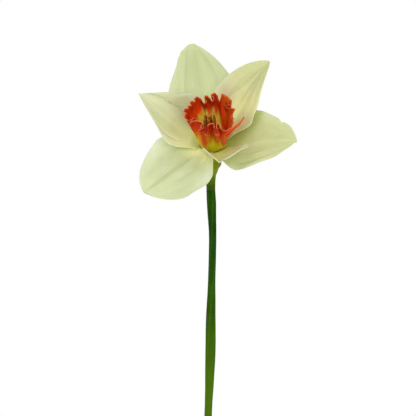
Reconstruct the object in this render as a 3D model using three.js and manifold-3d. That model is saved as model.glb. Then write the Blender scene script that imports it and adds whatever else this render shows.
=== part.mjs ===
// A daffodil in flower in a plain clay pot: pot, soil, bulb, strap leaves, scape and one bloom.
// Millimetres, +Z up. The origin is the middle of the pot's foot, and the bloom faces -Y and up.
import * as THREE from "three";
import { mergeVertices } from "three/addons/utils/BufferGeometryUtils.js";
import Module from "manifold-3d";

// Clearance left where two pieces meet.
const GAP = 0.3;

// Pot: outside sizes, wall and drain hole.
const POT = {
  height: 96,
  footRadius: 38,
  shoulderRadius: 48.5,
  bandRadius: 52.5,
  rimRadius: 55,
  bandHeight: 23,
  wall: 5,
  floor: 7,
  drainRadius: 6,
  edge: 1.2,
  sides: 40,
};

// Soil: its level at the wall, the low mound in the middle and the lumps on it.
const SOIL = { level: 82, mound: 2.5, lump: 0.8, rings: 5 };

// Bulb: stands on its basal plate, with the neck just out of the soil. Its side goes from the plate
// up to the neck as [share of the belly's radius, height].
const BULB = {
  x: -2,
  base: 30,
  neck: 80,
  nose: 90,
  baseRadius: 8,
  bellyRadius: 24,
  side: [
    [0.72, 37],
    [0.95, 45],
    [1, 53],
    [0.92, 62],
    [0.72, 71],
  ],
  neckRadius: 13.5,
  noseRadius: 12.4,
  socketRadius: 10.8,
  socketFloor: 79,
  cutAbove: 20,
  sides: 28,
};
const ROOTS = { count: 7, length: 24, radius: 1.2, reach: 34, inside: 3, sides: 5, steps: 4 };

// Leaves: azimuth, length, lean from upright at foot and tip, sideways sweep, twist and half width.
const LEAVES = [
  { azimuth: 172, length: 130, lean: [4, 88], sweep: 6, twist: 40, half: 5.8 },
  { azimuth: 26, length: 160, lean: [4, 94], sweep: 7, twist: -50, half: 5.6 },
  { azimuth: 244, length: 126, lean: [3, 50], sweep: 7, twist: 70, half: 5.4 },
  { azimuth: 99, length: 130, lean: [3, 54], sweep: 6, twist: -60, half: 5.6 },
  { azimuth: 316, length: 118, lean: [4, 38], sweep: 5, twist: 45, half: 5.0 },
];
const LEAF = {
  footRadius: 6.4,
  footHeight: BULB.socketFloor + GAP,
  thickness: 2,
  edgeThickness: 0.9,
  tipThickness: 1.1,
  channel: 0.26,
  bend: 1.7,
  footShare: 0.55,
  widenBy: 0.36,
  tipFrom: 0.88,
  steps: 18,
  across: 4,
};

// Scape: half widths of its oval, its keels and the run of its middle line as [x, y, z].
const SCAPE = {
  halfWide: 2.3,
  halfDeep: 1.75,
  keel: 0.3,
  turns: 2.9,
  taper: 1.18,
  ring: 12,
  steps: 34,
  line: [
    [BULB.x, 0, BULB.socketFloor + GAP],
    [-2.3, 0.2, 118],
    [-1.5, 1.6, 170],
    [0.05, 3.2, 215],
    [1.1, 4.2, 242],
    [1.4, 4.9, 262],
    [1.9, 5.5, 284],
    [2.4, 6, 306],
    [1.9, 6.1, 321],
    [1.45, 6.1, 331],
  ],
};

// Bloom: mouth of the floral tube, and the way the cup faces.
const BLOOM = { mouth: [1.85, -12, 355], tilt: 45, lean: -0.107 };
// Depths below the mouth, along the bloom's axis.
const SEAT = 2.3;

// Neck: middle line from the scape to the mouth as [x, y, z, radius], ovary included.
const NECK = {
  run: [
    [1.45, 6.1, 331 + 2 * GAP, 2.2],
    [1.5, 5.9, 335, 2.3],
    [1.75, 4, 338.6, 2.5],
    [2.15, 0.9, 342.4, 3.4],
    [2.5, -2.3, 345.6, 4.3],
    [2.6, -5, 348.1, 3.6],
    [2.35, -7.6, 350.7, 3.7],
  ],
  mouthRadius: 6.1,
  collar: 1.6,
  collarIn: 0.8,
  ovaryAt: 0.45,
  ovaryReach: 0.22,
  lobes: 0.06,
  ring: 18,
  steps: 22,
};

// Tepals: each has a place round the axis (phi) and a length, the pitch, yaw and roll of its midrib at
// foot, middle and tip in degrees, and for each side [half width, widest at, fullness, roundness].
// Swells widen a side, 1 for ccw and -1 for cw: [side, place, reach, growth].
const TEPAL = { thickness: 0.65, tipHalf: 0.5, footHalf: 4.4, foldEase: 0.02, steps: 14, across: 10 };
const OUTER_WHORL = { ring: 6, z: -1.5 };
const INNER_WHORL = { ring: 6.7, z: 0 };
const TEPALS = [
  {
    name: "tepal_top",
    phi: 99,
    whorl: OUTER_WHORL,
    length: 50,
    ccw: [19, 0.42, 1.5, 0.8],
    cw: [17.5, 0.52, 1.6, 0.9],
    swells: [[1, 0.93, 0.1, 2.8]],
    pitch: [20, 38, 37],
    yaw: [0, 0, 0],
    roll: [0, 0, 0],
    cup: [0.2, 0.22, 0.3],
    crease: [0, 0, 0],
  },
  {
    name: "tepal_right",
    phi: -25,
    whorl: OUTER_WHORL,
    length: 43,
    ccw: [19.5, 0.36, 1.7, 0.75],
    cw: [14.2, 0.3, 1.2, 0.9],
    swells: [[-1, 0.62, 0.14, -1]],
    pitch: [10, 24, 26],
    yaw: [0, 0, 0],
    roll: [0, 22, 22],
    cup: [0.4, 0.2, 0],
    crease: [0, 0, 0],
  },
  {
    name: "tepal_lower_left",
    phi: 224,
    whorl: OUTER_WHORL,
    length: 40,
    ccw: [21.6, 0.46, 2, 0.55],
    cw: [19.5, 0.34, 1.7, 0.66],
    swells: [
      [-1, 0.2, 0.16, 2.4],
      [1, 0.8, 0.14, 2.2],
    ],
    pitch: [10, 0, -10],
    yaw: [0, 0, 0],
    roll: [0, 0, 0],
    cup: [0.3, 0.1, 0],
    crease: [0, 0, 0],
  },
  {
    name: "tepal_upper_right",
    phi: 54,
    whorl: INNER_WHORL,
    length: 45,
    ccw: [14, 0.45, 1.7, 0.75],
    cw: [14.6, 0.45, 1.7, 0.9],
    swells: [[-1, 0.18, 0.1, 3]],
    pitch: [20, 36, 30],
    yaw: [0, -10, -20],
    roll: [0, 0, 0],
    cup: [0.2, 0.2, 0.2],
    crease: [10, 24, 24],
  },
  {
    name: "tepal_left",
    phi: 151,
    whorl: INNER_WHORL,
    length: 38.5,
    ccw: [15.5, 0.3, 1.2, 1],
    cw: [15, 0.47, 1.3, 1],
    swells: [
      [-1, 0.22, 0.15, 2],
      [-1, 0.75, 0.15, 1.2],
    ],
    pitch: [20, 29, 30],
    yaw: [0, 0, 0],
    roll: [0, -6, -4],
    cup: [0.2, 0.2, 0.2],
    crease: [10, 15, 15],
  },
  {
    name: "tepal_front",
    phi: 280,
    whorl: INNER_WHORL,
    length: 33,
    ccw: [17.2, 0.5, 1, 1.2],
    cw: [9.2, 0.6, 1.5, 0.8],
    swells: [[1, 0.78, 0.12, -2.6]],
    pitch: [18, 34, 38],
    yaw: [0, 0, 0],
    roll: [0, -12, -18],
    cup: [0.1, 0.1, 0.1],
    crease: [8, 30, 28],
  },
];

// Corona: its fluted cup. Its wall is pulled to the gathered rim from the share gatherFrom upwards.
// Ease is how many times the rim's angles at the cup's foot are evened out.
const CORONA = {
  footRadius: 5.1,
  footAside: 0.1,
  rimRadius: 11.6,
  foot: -SEAT + 2 * GAP,
  depth: 21.5,
  flareFrom: 0.1,
  flare: 0.6,
  fluteAt: 236,
  flutes: 5,
  fluteDepth: 0.75,
  gatherFrom: 0.22,
  gather: 1.3,
  ease: 8,
  thickness: 0.65,
  columns: 2,
  rows: 9,
};
// Its gathered rim as seen from the front, counterclockwise from above the tongue: right and up
// from the middle of the mouth, and how far it stands beyond the cup's depth.
const RIM = [
  [9.6, 6.4, -1],
  [10.2, 10.4, 0],
  [9, 12.7, -0.4],
  [10.5, 14.8, 0.7],
  [8.2, 16.1, -0.4],
  [9.5, 18.7, 1.4],
  [9, 21.2, 2.3],
  [6.4, 22.9, 2.4],
  [4.6, 22.1, 1.8],
  [3.7, 19.5, 0.3],
  [2.9, 21.7, 1.6],
  [1.2, 23.4, 2.4],
  [-0.3, 22.4, 1.6],
  [0, 19.6, 0.3],
  [-2, 21.8, 1.4],
  [-3.6, 21.2, 1.2],
  [-3.4, 18.5, -0.2],
  [-5.2, 20.5, 1],
  [-7.6, 21.2, 1.5],
  [-8.5, 19.6, 0.6],
  [-10.5, 18.7, 1],
  [-10, 16.9, 0],
  [-12.4, 15.7, 0.8],
  [-11.6, 13.8, 0],
  [-13.9, 12.4, 0.5],
  [-13, 10, 0],
  [-11, 8.6, -0.5],
  [-8.4, 10.2, -0.1],
  [-5.4, 10.3, 0],
  [-4.6, 8.2, -0.9],
  [-5.9, 5.6, -1.5],
  [-4.6, 3.7, -2.2],
  [-2.7, 3.6, -2.3],
  [-2.1, 6.4, -1.7],
  [-0.8, 8.7, -0.9],
  [0.9, 7.8, -1.1],
  [1, 4.7, -1.9],
  [2.5, 3.3, -2.2],
  [3, 5.4, -1.9],
  [2.6, 7.7, -1.2],
  [4.2, 7.4, -1.2],
  [5, 5.1, -1.7],
  [7, 4.6, -1.6],
  [8.8, 5.3, -1.3],
];
// Tongue: the one narrow strap that stands away from the corona's wall, placed as the rim is.
const TONGUE = {
  line: [
    [7.4, 1.6, -6],
    [9.6, 4.6, -2.6],
    [11.7, 6.9, -1.2],
    [13.7, 8.9, -0.6],
    [15.7, 11.5, 0.2],
  ],
  across: [0, -0.35, 1],
  half: 1.3,
  tipHalf: 0.45,
  thickness: 0.75,
  steps: 8,
};

// Stamens and style on their disc, in the bloom.
const STAMENS = {
  discRadius: 3.9,
  discHeight: 0.8,
  discSides: 16,
  count: 6,
  turn: 20,
  stagger: 0.8,
  ring: 2.3,
  spread: 0.25,
  height: 16.9,
  filament: 0.45,
  anther: 0.85,
  antherFrom: 0.55,
  antherTo: 0.92,
  styleHeight: 17.4,
  style: 0.6,
  stigma: 0.95,
  stigmaFrom: 0.93,
  sides: 6,
  steps: 9,
};

// Spathe: the dry bract behind the neck, narrow round its foot and wider above. Wrap is how far it
// goes round to each side, in degrees, at its foot and above.
const SPATHE = {
  foot: [1.3, 6.1, 330.5],
  radius: 3.3,
  length: 34,
  thickness: 0.6,
  wrap: [34, 58],
  wrapFrom: 0.3,
  wrapTo: 0.6,
  backLean: [0, 34],
  sideLean: -22,
  widest: 6.2,
  widening: 0.6,
  tip: 0.5,
  steps: 9,
  across: 8,
};

const COLOURS = {
  clay: { color: 0xb4653f, roughness: 0.9 },
  soil: { color: 0x3a2a1e, roughness: 1 },
  bulb: { color: 0x8a5a30, roughness: 0.7 },
  leaf: { color: 0x4f7a3f, roughness: 0.55 },
  scape: { color: 0x3f6a20, roughness: 0.5 },
  neck: { color: 0x83902a, roughness: 0.5 },
  spathe: { color: 0xb79a6a, roughness: 0.8 },
  tepal: { color: 0xd3dba6, roughness: 0.6 },
  corona: { color: 0xc8441a, roughness: 0.55 },
  stamens: { color: 0xa86a20, roughness: 0.7 },
};

const wasm = await Module();
wasm.setup();

const radians = THREE.MathUtils.degToRad;
const clamp = THREE.MathUtils.clamp;

// Value at u of the curve through three values at foot, middle and tip.
function alongThree(values, u) {
  const [foot, middle, tip] = values;
  return foot * (1 - u) * (1 - 2 * u) + middle * 4 * u * (1 - u) + tip * u * (2 * u - 1);
}

// Closed geometry from vertices and triangles.
function geometryOf(points, triangles) {
  const geometry = new THREE.BufferGeometry();
  const flat = points.flatMap((p) => [p.x, p.y, p.z]);
  geometry.setAttribute("position", new THREE.Float32BufferAttribute(flat, 3));
  geometry.setIndex(triangles);
  return geometry;
}

// Turns a closed geometry into a solid for cutting and joining.
function solidOf(geometry) {
  const bare = geometry.clone();
  bare.deleteAttribute("normal");
  bare.deleteAttribute("uv");
  const merged = mergeVertices(bare, 1e-4);
  return new wasm.Manifold(
    new wasm.Mesh({
      numProp: 3,
      vertProperties: new Float32Array(merged.attributes.position.array),
      triVerts: new Uint32Array(merged.index.array),
    }),
  );
}

// Turns a solid back into geometry.
function geometryFrom(solid) {
  const made = solid.getMesh();
  const geometry = new THREE.BufferGeometry();
  const position = new Float32Array(made.vertProperties);
  geometry.setAttribute("position", new THREE.BufferAttribute(position, made.numProp));
  geometry.setIndex(new THREE.BufferAttribute(new Uint32Array(made.triVerts), 1));
  return geometry;
}

// A sheet round a grid of points: rows run along it, columns across it, counterclockwise seen from
// its upper face. Both faces are split alike. With ring set, the last column joins the first.
function sheet(grid, thicknessAt, ring = false) {
  const rows = grid.length;
  const columns = grid[0].length;
  const at = (i, j) => grid[clamp(i, 0, rows - 1)][
    ring ? (j + columns) % columns : clamp(j, 0, columns - 1)
  ];
  const upper = [];
  const lower = [];
  for (let i = 0; i < rows; i++) {
    for (let j = 0; j < columns; j++) {
      const along = at(i + 1, j).clone().sub(at(i - 1, j));
      const across = at(i, j + 1).clone().sub(at(i, j - 1));
      const half = along.cross(across).normalize().multiplyScalar(thicknessAt(i, j) / 2);
      upper.push(grid[i][j].clone().add(half));
      lower.push(grid[i][j].clone().sub(half));
    }
  }
  const count = rows * columns;
  const top = (i, j) => i * columns + (j % columns);
  const bottom = (i, j) => count + top(i, j);
  const triangles = [];
  const spans = ring ? columns : columns - 1;
  for (let i = 0; i < rows - 1; i++) {
    for (let j = 0; j < spans; j++) {
      triangles.push(top(i, j), top(i + 1, j), top(i + 1, j + 1));
      triangles.push(top(i, j), top(i + 1, j + 1), top(i, j + 1));
      triangles.push(bottom(i, j), bottom(i + 1, j + 1), bottom(i + 1, j));
      triangles.push(bottom(i, j), bottom(i, j + 1), bottom(i + 1, j + 1));
    }
  }
  const wall = (a, b) => {
    triangles.push(top(...a), top(...b), bottom(...b));
    triangles.push(top(...a), bottom(...b), bottom(...a));
  };
  for (let j = 0; j < spans; j++) {
    wall([0, j], [0, j + 1]);
    wall([rows - 1, j + 1], [rows - 1, j]);
  }
  if (!ring) {
    for (let i = 0; i < rows - 1; i++) {
      wall([i + 1, 0], [i, 0]);
      wall([i, columns - 1], [i + 1, columns - 1]);
    }
  }
  return geometryOf([...upper, ...lower], triangles);
}

// A closed body through rings of points, each ring counterclockwise seen from the far end.
function loft(rings) {
  const sides = rings[0].length;
  const points = rings.flat();
  const triangles = [];
  for (let i = 0; i < rings.length - 1; i++) {
    for (let j = 0; j < sides; j++) {
      const a = i * sides + j;
      const b = i * sides + ((j + 1) % sides);
      triangles.push(a, b, b + sides, a, b + sides, a + sides);
    }
  }
  const middle = (ring) =>
    ring.reduce((sum, p) => sum.add(p), new THREE.Vector3()).divideScalar(sides);
  const first = points.push(middle(rings[0])) - 1;
  const last = points.push(middle(rings[rings.length - 1])) - 1;
  const start = (rings.length - 1) * sides;
  for (let j = 0; j < sides; j++) {
    const next = (j + 1) % sides;
    triangles.push(first, next, j, last, start + j, start + next);
  }
  return geometryOf(points, triangles);
}

// Rings round a curve, turned as little as possible. radiusAt(u, angle) gives the outline.
function ringsAlong(curve, steps, sides, radiusAt, turnAt = () => 0) {
  const rings = [];
  let across = null;
  for (let i = 0; i <= steps; i++) {
    const u = i / steps;
    const tangent = curve.getTangentAt(u);
    const reference = across || new THREE.Vector3(1, 0, 0);
    across = reference.sub(tangent.clone().multiplyScalar(reference.dot(tangent))).normalize();
    const deep = tangent.clone().cross(across);
    const middle = curve.getPointAt(u);
    const ring = [];
    for (let j = 0; j < sides; j++) {
      const angle = (2 * Math.PI * j) / sides;
      const radius = radiusAt(u, angle);
      const place = angle + turnAt(u);
      ring.push(
        middle
          .clone()
          .addScaledVector(across, radius * Math.cos(place))
          .addScaledVector(deep, radius * Math.sin(place)),
      );
    }
    rings.push(ring);
    across = across.clone();
  }
  return rings;
}

// A turned body from a closed outline of [radius, height] points.
function turned(outline, sides) {
  const profile = outline.map(([r, z]) => new THREE.Vector2(r, z));
  return new THREE.LatheGeometry(profile, sides).rotateX(Math.PI / 2);
}

function splineThrough(points) {
  return new THREE.CatmullRomCurve3(points.map((p) => new THREE.Vector3(p[0], p[1], p[2])));
}

function named(name, geometry, finish) {
  const material = new THREE.MeshStandardMaterial({ metalness: 0, ...finish });
  const mesh = new THREE.Mesh(geometry, material);
  mesh.name = name;
  return mesh;
}

// Inside radius of the pot at a height.
function potInside(z) {
  const side = (POT.rimRadius - POT.footRadius) / POT.height;
  return POT.footRadius + side * z - POT.wall;
}

function pot() {
  const bandFoot = POT.height - POT.bandHeight;
  return turned(
    [
      [POT.drainRadius, 0],
      [POT.footRadius - POT.edge, 0],
      [POT.footRadius, POT.edge],
      [POT.shoulderRadius, bandFoot - POT.edge],
      [POT.bandRadius - POT.edge, bandFoot],
      [POT.bandRadius, bandFoot + POT.edge],
      [POT.rimRadius, POT.height - POT.edge],
      [POT.rimRadius - POT.edge, POT.height],
      [potInside(POT.height) + POT.edge, POT.height],
      [potInside(POT.height) - POT.edge / 3, POT.height - POT.edge],
      [potInside(POT.floor), POT.floor + POT.edge],
      [potInside(POT.floor) - POT.edge, POT.floor],
      [POT.drainRadius, POT.floor],
      [POT.drainRadius, 0],
    ],
    POT.sides,
  );
}

// Height of the soil's lumps, low and soft, above its mound.
function soilRelief(x, y) {
  const broad = Math.sin(0.21 * x + 1.3) * Math.cos(0.17 * y - 0.4);
  const fine = Math.sin(0.52 * x - 0.38 * y) * Math.cos(0.33 * x + 0.47 * y + 0.8);
  return SOIL.lump * (broad + 0.6 * fine);
}

function soilBlock() {
  const foot = POT.floor + GAP;
  const edge = potInside(SOIL.level) - 2 * GAP;
  const outline = [
    [0, foot],
    [potInside(foot) - 2 * GAP - POT.edge, foot],
    [potInside(foot + POT.edge) - 2 * GAP, foot + POT.edge],
  ];
  for (let k = 0; k < SOIL.rings; k++) {
    outline.push([edge * (1 - k / SOIL.rings), SOIL.level]);
  }
  outline.push([0, SOIL.level]);
  const geometry = turned(outline, POT.sides);
  const place = geometry.attributes.position;
  for (let i = 0; i < place.count; i++) {
    const x = place.getX(i);
    const y = place.getY(i);
    if (place.getZ(i) > SOIL.level - 1) {
      const inward = 1 - Math.hypot(x, y) / edge;
      const lift = inward * SOIL.mound + Math.min(1, 4 * inward) * soilRelief(x, y);
      place.setZ(i, SOIL.level + lift);
    }
  }
  return solidOf(geometry);
}

// Bulb with its roots, grown by extra all over for the hole that it stands in.
function bulbBody(extra, socket) {
  const top = BULB.nose + (socket ? 0 : BULB.cutAbove);
  const outline = [
    [0, BULB.base - extra],
    [BULB.baseRadius + extra, BULB.base - extra],
    ...BULB.side.map(([share, z]) => [BULB.bellyRadius * share + extra, z]),
    [BULB.neckRadius + extra, BULB.neck],
    [BULB.noseRadius + extra, top],
  ];
  if (socket) {
    outline.push([BULB.socketRadius, top]);
    outline.push([BULB.socketRadius, BULB.socketFloor]);
    outline.push([0, BULB.socketFloor]);
  } else {
    outline.push([0, top]);
  }
  let solid = solidOf(turned(outline, BULB.sides));
  for (let k = 0; k < ROOTS.count; k++) {
    const out = (2 * Math.PI * k) / ROOTS.count;
    const drop = ROOTS.length * (0.75 + 0.25 * Math.sin(2.4 * k));
    const spot = (radius, z) =>
      new THREE.Vector3(radius * Math.cos(out), radius * Math.sin(out), z);
    const curve = new THREE.QuadraticBezierCurve3(
      spot(BULB.baseRadius * 0.7, BULB.base + ROOTS.inside),
      spot(BULB.baseRadius * 1.1, BULB.base - drop * 0.45),
      spot(ROOTS.reach * (0.6 + 0.2 * Math.cos(3.1 * k)) + extra, BULB.base - drop * 0.8 - extra),
    );
    const thickness = (u) => ROOTS.radius * (1 - 0.5 * u) + extra;
    const root = loft(ringsAlong(curve, ROOTS.steps, ROOTS.sides, thickness));
    solid = solid.add(solidOf(root));
  }
  return solid.translate([BULB.x, 0, 0]);
}

// Share of a leaf's full width at u: narrow at its foot, straight, and rounded at its tip.
function leafWidth(u) {
  if (u < LEAF.widenBy) {
    return LEAF.footShare + (1 - LEAF.footShare) * Math.sin(((u / LEAF.widenBy) * Math.PI) / 2);
  }
  const t = Math.max(0, (u - LEAF.tipFrom) / (1 - LEAF.tipFrom));
  return Math.max(0.12, Math.sqrt(1 - t * t));
}

// One strap leaf: it starts upright and bends over outwards, along +X before it is turned.
function leaf(spec) {
  const grid = [];
  const middle = new THREE.Vector3(0, 0, 0);
  const step = spec.length / LEAF.steps;
  for (let i = 0; i <= LEAF.steps; i++) {
    const u = i / LEAF.steps;
    const lean = radians(spec.lean[0] + (spec.lean[1] - spec.lean[0]) * u ** LEAF.bend);
    const side = radians(spec.sweep * Math.sin(Math.PI * u));
    const along = new THREE.Vector3(
      Math.sin(lean) * Math.cos(side),
      Math.sin(side),
      Math.cos(lean) * Math.cos(side),
    ).normalize();
    if (i > 0) {
      middle.addScaledVector(along, step);
    }
    const twist = radians(spec.twist * u * u);
    const flat = new THREE.Vector3(0, 1, 0);
    flat.addScaledVector(along, -flat.dot(along)).normalize();
    const up = along.clone().cross(flat);
    const across = flat.clone().multiplyScalar(Math.cos(twist));
    across.addScaledVector(up, Math.sin(twist));
    const inward = along.clone().cross(across);
    const half = spec.half * leafWidth(u);
    const row = [];
    for (let j = 0; j <= LEAF.across; j++) {
      const v = -1 + (2 * j) / LEAF.across;
      row.push(
        middle
          .clone()
          .addScaledVector(across, v * half)
          .addScaledVector(inward, LEAF.channel * v * v * half),
      );
    }
    grid.push(row);
  }
  const thicknessAt = (i, j) => {
    const v = -1 + (2 * j) / LEAF.across;
    const body = LEAF.thickness + (LEAF.edgeThickness - LEAF.thickness) * v * v;
    return i > LEAF.steps * LEAF.tipFrom ? Math.min(body, LEAF.tipThickness) : body;
  };
  return sheet(grid, thicknessAt);
}

function scape() {
  const outline = (u, angle) => {
    const wide = SCAPE.halfWide * (SCAPE.taper + (1 - SCAPE.taper) * Math.min(1, 1.6 * u));
    const deep = (wide * SCAPE.halfDeep) / SCAPE.halfWide;
    const oval = 1 / Math.hypot(Math.cos(angle) / wide, Math.sin(angle) / deep);
    return oval + SCAPE.keel * Math.cos(angle) ** 8;
  };
  const turn = (u) => Math.PI * SCAPE.turns * u;
  const curve = splineThrough(SCAPE.line);
  return loft(ringsAlong(curve, SCAPE.steps, SCAPE.ring, outline, turn));
}

// The bloom's own axes: across to the right, up the back of the cup, and out of the cup.
function bloomAxes() {
  const rise = Math.sin(radians(BLOOM.tilt));
  const out = new THREE.Vector3(BLOOM.lean * rise, -rise, rise).normalize();
  const right = new THREE.Vector3(1, 0, 0);
  right.addScaledVector(out, -right.dot(out)).normalize();
  const back = out.clone().cross(right);
  return { right, back, out };
}

function neck() {
  const { out } = bloomAxes();
  const mouth = new THREE.Vector3(...BLOOM.mouth);
  const points = NECK.run.map(([x, y, z]) => new THREE.Vector3(x, y, z));
  points.push(mouth.clone().addScaledVector(out, -SEAT - NECK.collar));
  points.push(mouth.clone().addScaledVector(out, -SEAT));
  const collarRadius = NECK.mouthRadius - NECK.collarIn;
  const radii = [...NECK.run.map((row) => row[3]), collarRadius, NECK.mouthRadius];
  const curve = new THREE.CatmullRomCurve3(points, false, "centripetal");
  const spans = points.length - 1;
  const radius = (share) => {
    const k = clamp(Math.floor(share * spans), 0, spans - 1);
    const t = share * spans - k;
    const ease = t * t * (3 - 2 * t);
    return radii[k] + (radii[k + 1] - radii[k]) * ease;
  };
  const rings = [];
  let across = new THREE.Vector3(1, 0, 0);
  for (let i = 0; i <= NECK.steps; i++) {
    const share = i / NECK.steps;
    const tangent = i === NECK.steps ? out.clone() : curve.getTangent(share);
    across.addScaledVector(tangent, -across.dot(tangent)).normalize();
    const deep = tangent.clone().cross(across);
    const middle = curve.getPoint(share);
    const ovary = Math.max(0, 1 - ((share - NECK.ovaryAt) / NECK.ovaryReach) ** 2);
    const ring = [];
    for (let j = 0; j < NECK.ring; j++) {
      const angle = (2 * Math.PI * j) / NECK.ring;
      const r = radius(share) * (1 + NECK.lobes * ovary * Math.cos(3 * angle));
      ring.push(
        middle
          .clone()
          .addScaledVector(across, r * Math.cos(angle))
          .addScaledVector(deep, r * Math.sin(angle)),
      );
    }
    rings.push(ring);
    across = across.clone();
  }
  return loft(rings);
}

// Half width of a tepal at u, on its ccw side if side is 1 and on its cw side if it is -1.
function tepalSide(spec, side, u) {
  const [half, widest, fullness, roundness] = side > 0 ? spec.ccw : spec.cw;
  const foot = TEPAL.footHalf / half;
  const rising = foot + (1 - foot) * Math.sin((clamp(u / widest, 0, 1) * Math.PI) / 2);
  const t = clamp((u - widest) / (1 - widest), 0, 1);
  const falling = (1 - t ** fullness) ** roundness;
  let width = half * (u < widest ? rising : falling);
  for (const [swollen, place, reach, growth] of spec.swells) {
    if (swollen === side) {
      width += growth * Math.exp(-(((u - place) / reach) ** 2));
    }
  }
  return Math.max(TEPAL.tipHalf, width);
}

// Frame of a tepal's midrib: along it, across it counterclockwise, and up towards the cup's axis.
function ribFrame(azimuth, pitch, roll) {
  const turn = new THREE.Matrix4().makeRotationZ(radians(azimuth));
  turn.multiply(new THREE.Matrix4().makeRotationY(-radians(pitch)));
  turn.multiply(new THREE.Matrix4().makeRotationX(radians(roll)));
  const along = new THREE.Vector3();
  const across = new THREE.Vector3();
  const up = new THREE.Vector3();
  turn.extractBasis(along, across, up);
  return { along, across, up };
}

// How far a tepal's section goes across and up at v, from -1 to 1, for a half width of 1.
function tepalSection(v, cup, crease) {
  const bend = cup * Math.abs(v);
  const across = cup > 1e-3 ? (Math.sin(bend) / cup) * Math.sign(v) : v;
  const lift = cup > 1e-3 ? (1 - Math.cos(bend)) / cup : 0;
  const fold = Math.sqrt(v * v + TEPAL.foldEase) - Math.sqrt(TEPAL.foldEase);
  const angle = radians(crease);
  return { across: across * Math.cos(angle), lift: lift + fold * Math.sin(angle) };
}

function tepal(spec) {
  const grid = [];
  const ring = radians(spec.phi);
  const middle = new THREE.Vector3(
    spec.whorl.ring * Math.cos(ring),
    spec.whorl.ring * Math.sin(ring),
    spec.whorl.z,
  );
  const step = spec.length / TEPAL.steps;
  let before = null;
  for (let i = 0; i <= TEPAL.steps; i++) {
    const u = i / TEPAL.steps;
    const frame = ribFrame(
      spec.phi + alongThree(spec.yaw, u),
      alongThree(spec.pitch, u),
      alongThree(spec.roll, u),
    );
    if (before) {
      middle.addScaledVector(frame.along, step / 2).addScaledVector(before, step / 2);
    }
    before = frame.along;
    const row = [];
    for (let j = 0; j <= TEPAL.across; j++) {
      const v = -1 + (2 * j) / TEPAL.across;
      const half = tepalSide(spec, v > 0 ? 1 : -1, u);
      const shape = tepalSection(v, alongThree(spec.cup, u), alongThree(spec.crease, u));
      row.push(
        middle
          .clone()
          .addScaledVector(frame.across, shape.across * half)
          .addScaledVector(frame.up, shape.lift * half),
      );
    }
    grid.push(row);
  }
  return sheet(grid, () => TEPAL.thickness);
}

// The bloom's own place of what is seen so far right and up from the mouth's middle.
function seenFromFront([rightwards, upwards, beyond]) {
  const { right, back, out } = bloomAxes();
  const z = CORONA.foot + CORONA.depth + beyond;
  const x = (rightwards - out.x * z) / right.x;
  const y = (upwards - out.z * z - right.z * x) / back.z;
  return new THREE.Vector3(x, y, z);
}

// The angle at the cup's foot from which each place of the rim grows, in turn round the cup.
function rimRoots(places) {
  let angles = [];
  for (const place of places) {
    let angle = Math.atan2(place.y, place.x);
    while (angles.length > 0 && angle < angles[angles.length - 1] - Math.PI) {
      angle += 2 * Math.PI;
    }
    angles.push(angle);
  }
  const last = angles.length - 1;
  for (let pass = 0; pass < CORONA.ease; pass++) {
    angles = angles.map((angle, k) => {
      const before = k > 0 ? angles[k - 1] : angles[last] - 2 * Math.PI;
      const after = k < last ? angles[k + 1] : angles[0] + 2 * Math.PI;
      return (before + 2 * angle + after) / 4;
    });
  }
  return angles;
}

// Places along the closed rim, each with its root angle.
function rimPlaces() {
  const points = RIM.map(seenFromFront);
  const roots = rimRoots(points);
  const curve = new THREE.CatmullRomCurve3(points, true, "catmullrom", 0.5);
  const places = [];
  points.forEach((_, k) => {
    const next = k < points.length - 1 ? roots[k + 1] : roots[0] + 2 * Math.PI;
    for (let step = 0; step < CORONA.columns; step++) {
      const t = step / CORONA.columns;
      const rim = curve.getPoint((k + t) / points.length);
      places.push({ rim, root: roots[k] + (next - roots[k]) * t });
    }
  });
  return places;
}

// Point of the corona's wall at s, from its foot to a place of its rim.
function coronaPoint({ rim, root }, s) {
  const outward = new THREE.Vector3(Math.cos(root), Math.sin(root), 0);
  const flared = clamp((s - CORONA.flareFrom) / (1 - CORONA.flareFrom), 0, 1) ** CORONA.flare;
  const grown = (CORONA.rimRadius - CORONA.footRadius) * flared;
  const turn = Math.cos(CORONA.flutes * (root - radians(CORONA.fluteAt)));
  const flute = CORONA.fluteDepth * turn * Math.sin(Math.PI * s);
  const gathered = clamp((s - CORONA.gatherFrom) / (1 - CORONA.gatherFrom), 0, 1) ** CORONA.gather;
  const pull = rim.clone().addScaledVector(outward, -CORONA.rimRadius);
  pull.z -= CORONA.foot + CORONA.depth;
  const point = new THREE.Vector3(CORONA.footAside * (1 - s), 0, CORONA.foot + CORONA.depth * s);
  point.addScaledVector(outward, CORONA.footRadius + grown + flute);
  return point.addScaledVector(pull, gathered);
}

function tongueGrid() {
  const curve = new THREE.CatmullRomCurve3(TONGUE.line.map(seenFromFront));
  const grid = [];
  for (let i = 0; i <= TONGUE.steps; i++) {
    const u = i / TONGUE.steps;
    const tangent = curve.getTangentAt(u);
    const across = new THREE.Vector3(...TONGUE.across);
    across.addScaledVector(tangent, -across.dot(tangent)).normalize();
    const half = TONGUE.half + (TONGUE.tipHalf - TONGUE.half) * u;
    const middle = curve.getPointAt(u);
    grid.push([-1, 0, 1].map((v) => middle.clone().addScaledVector(across, v * half)));
  }
  return grid;
}

function corona() {
  const places = rimPlaces();
  const grid = [];
  for (let i = 0; i <= CORONA.rows; i++) {
    grid.push(places.map((place) => coronaPoint(place, i / CORONA.rows)));
  }
  const cup = solidOf(sheet(grid, () => CORONA.thickness, true));
  const strap = solidOf(sheet(tongueGrid(), () => TONGUE.thickness));
  return geometryFrom(cup.add(strap));
}

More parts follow.
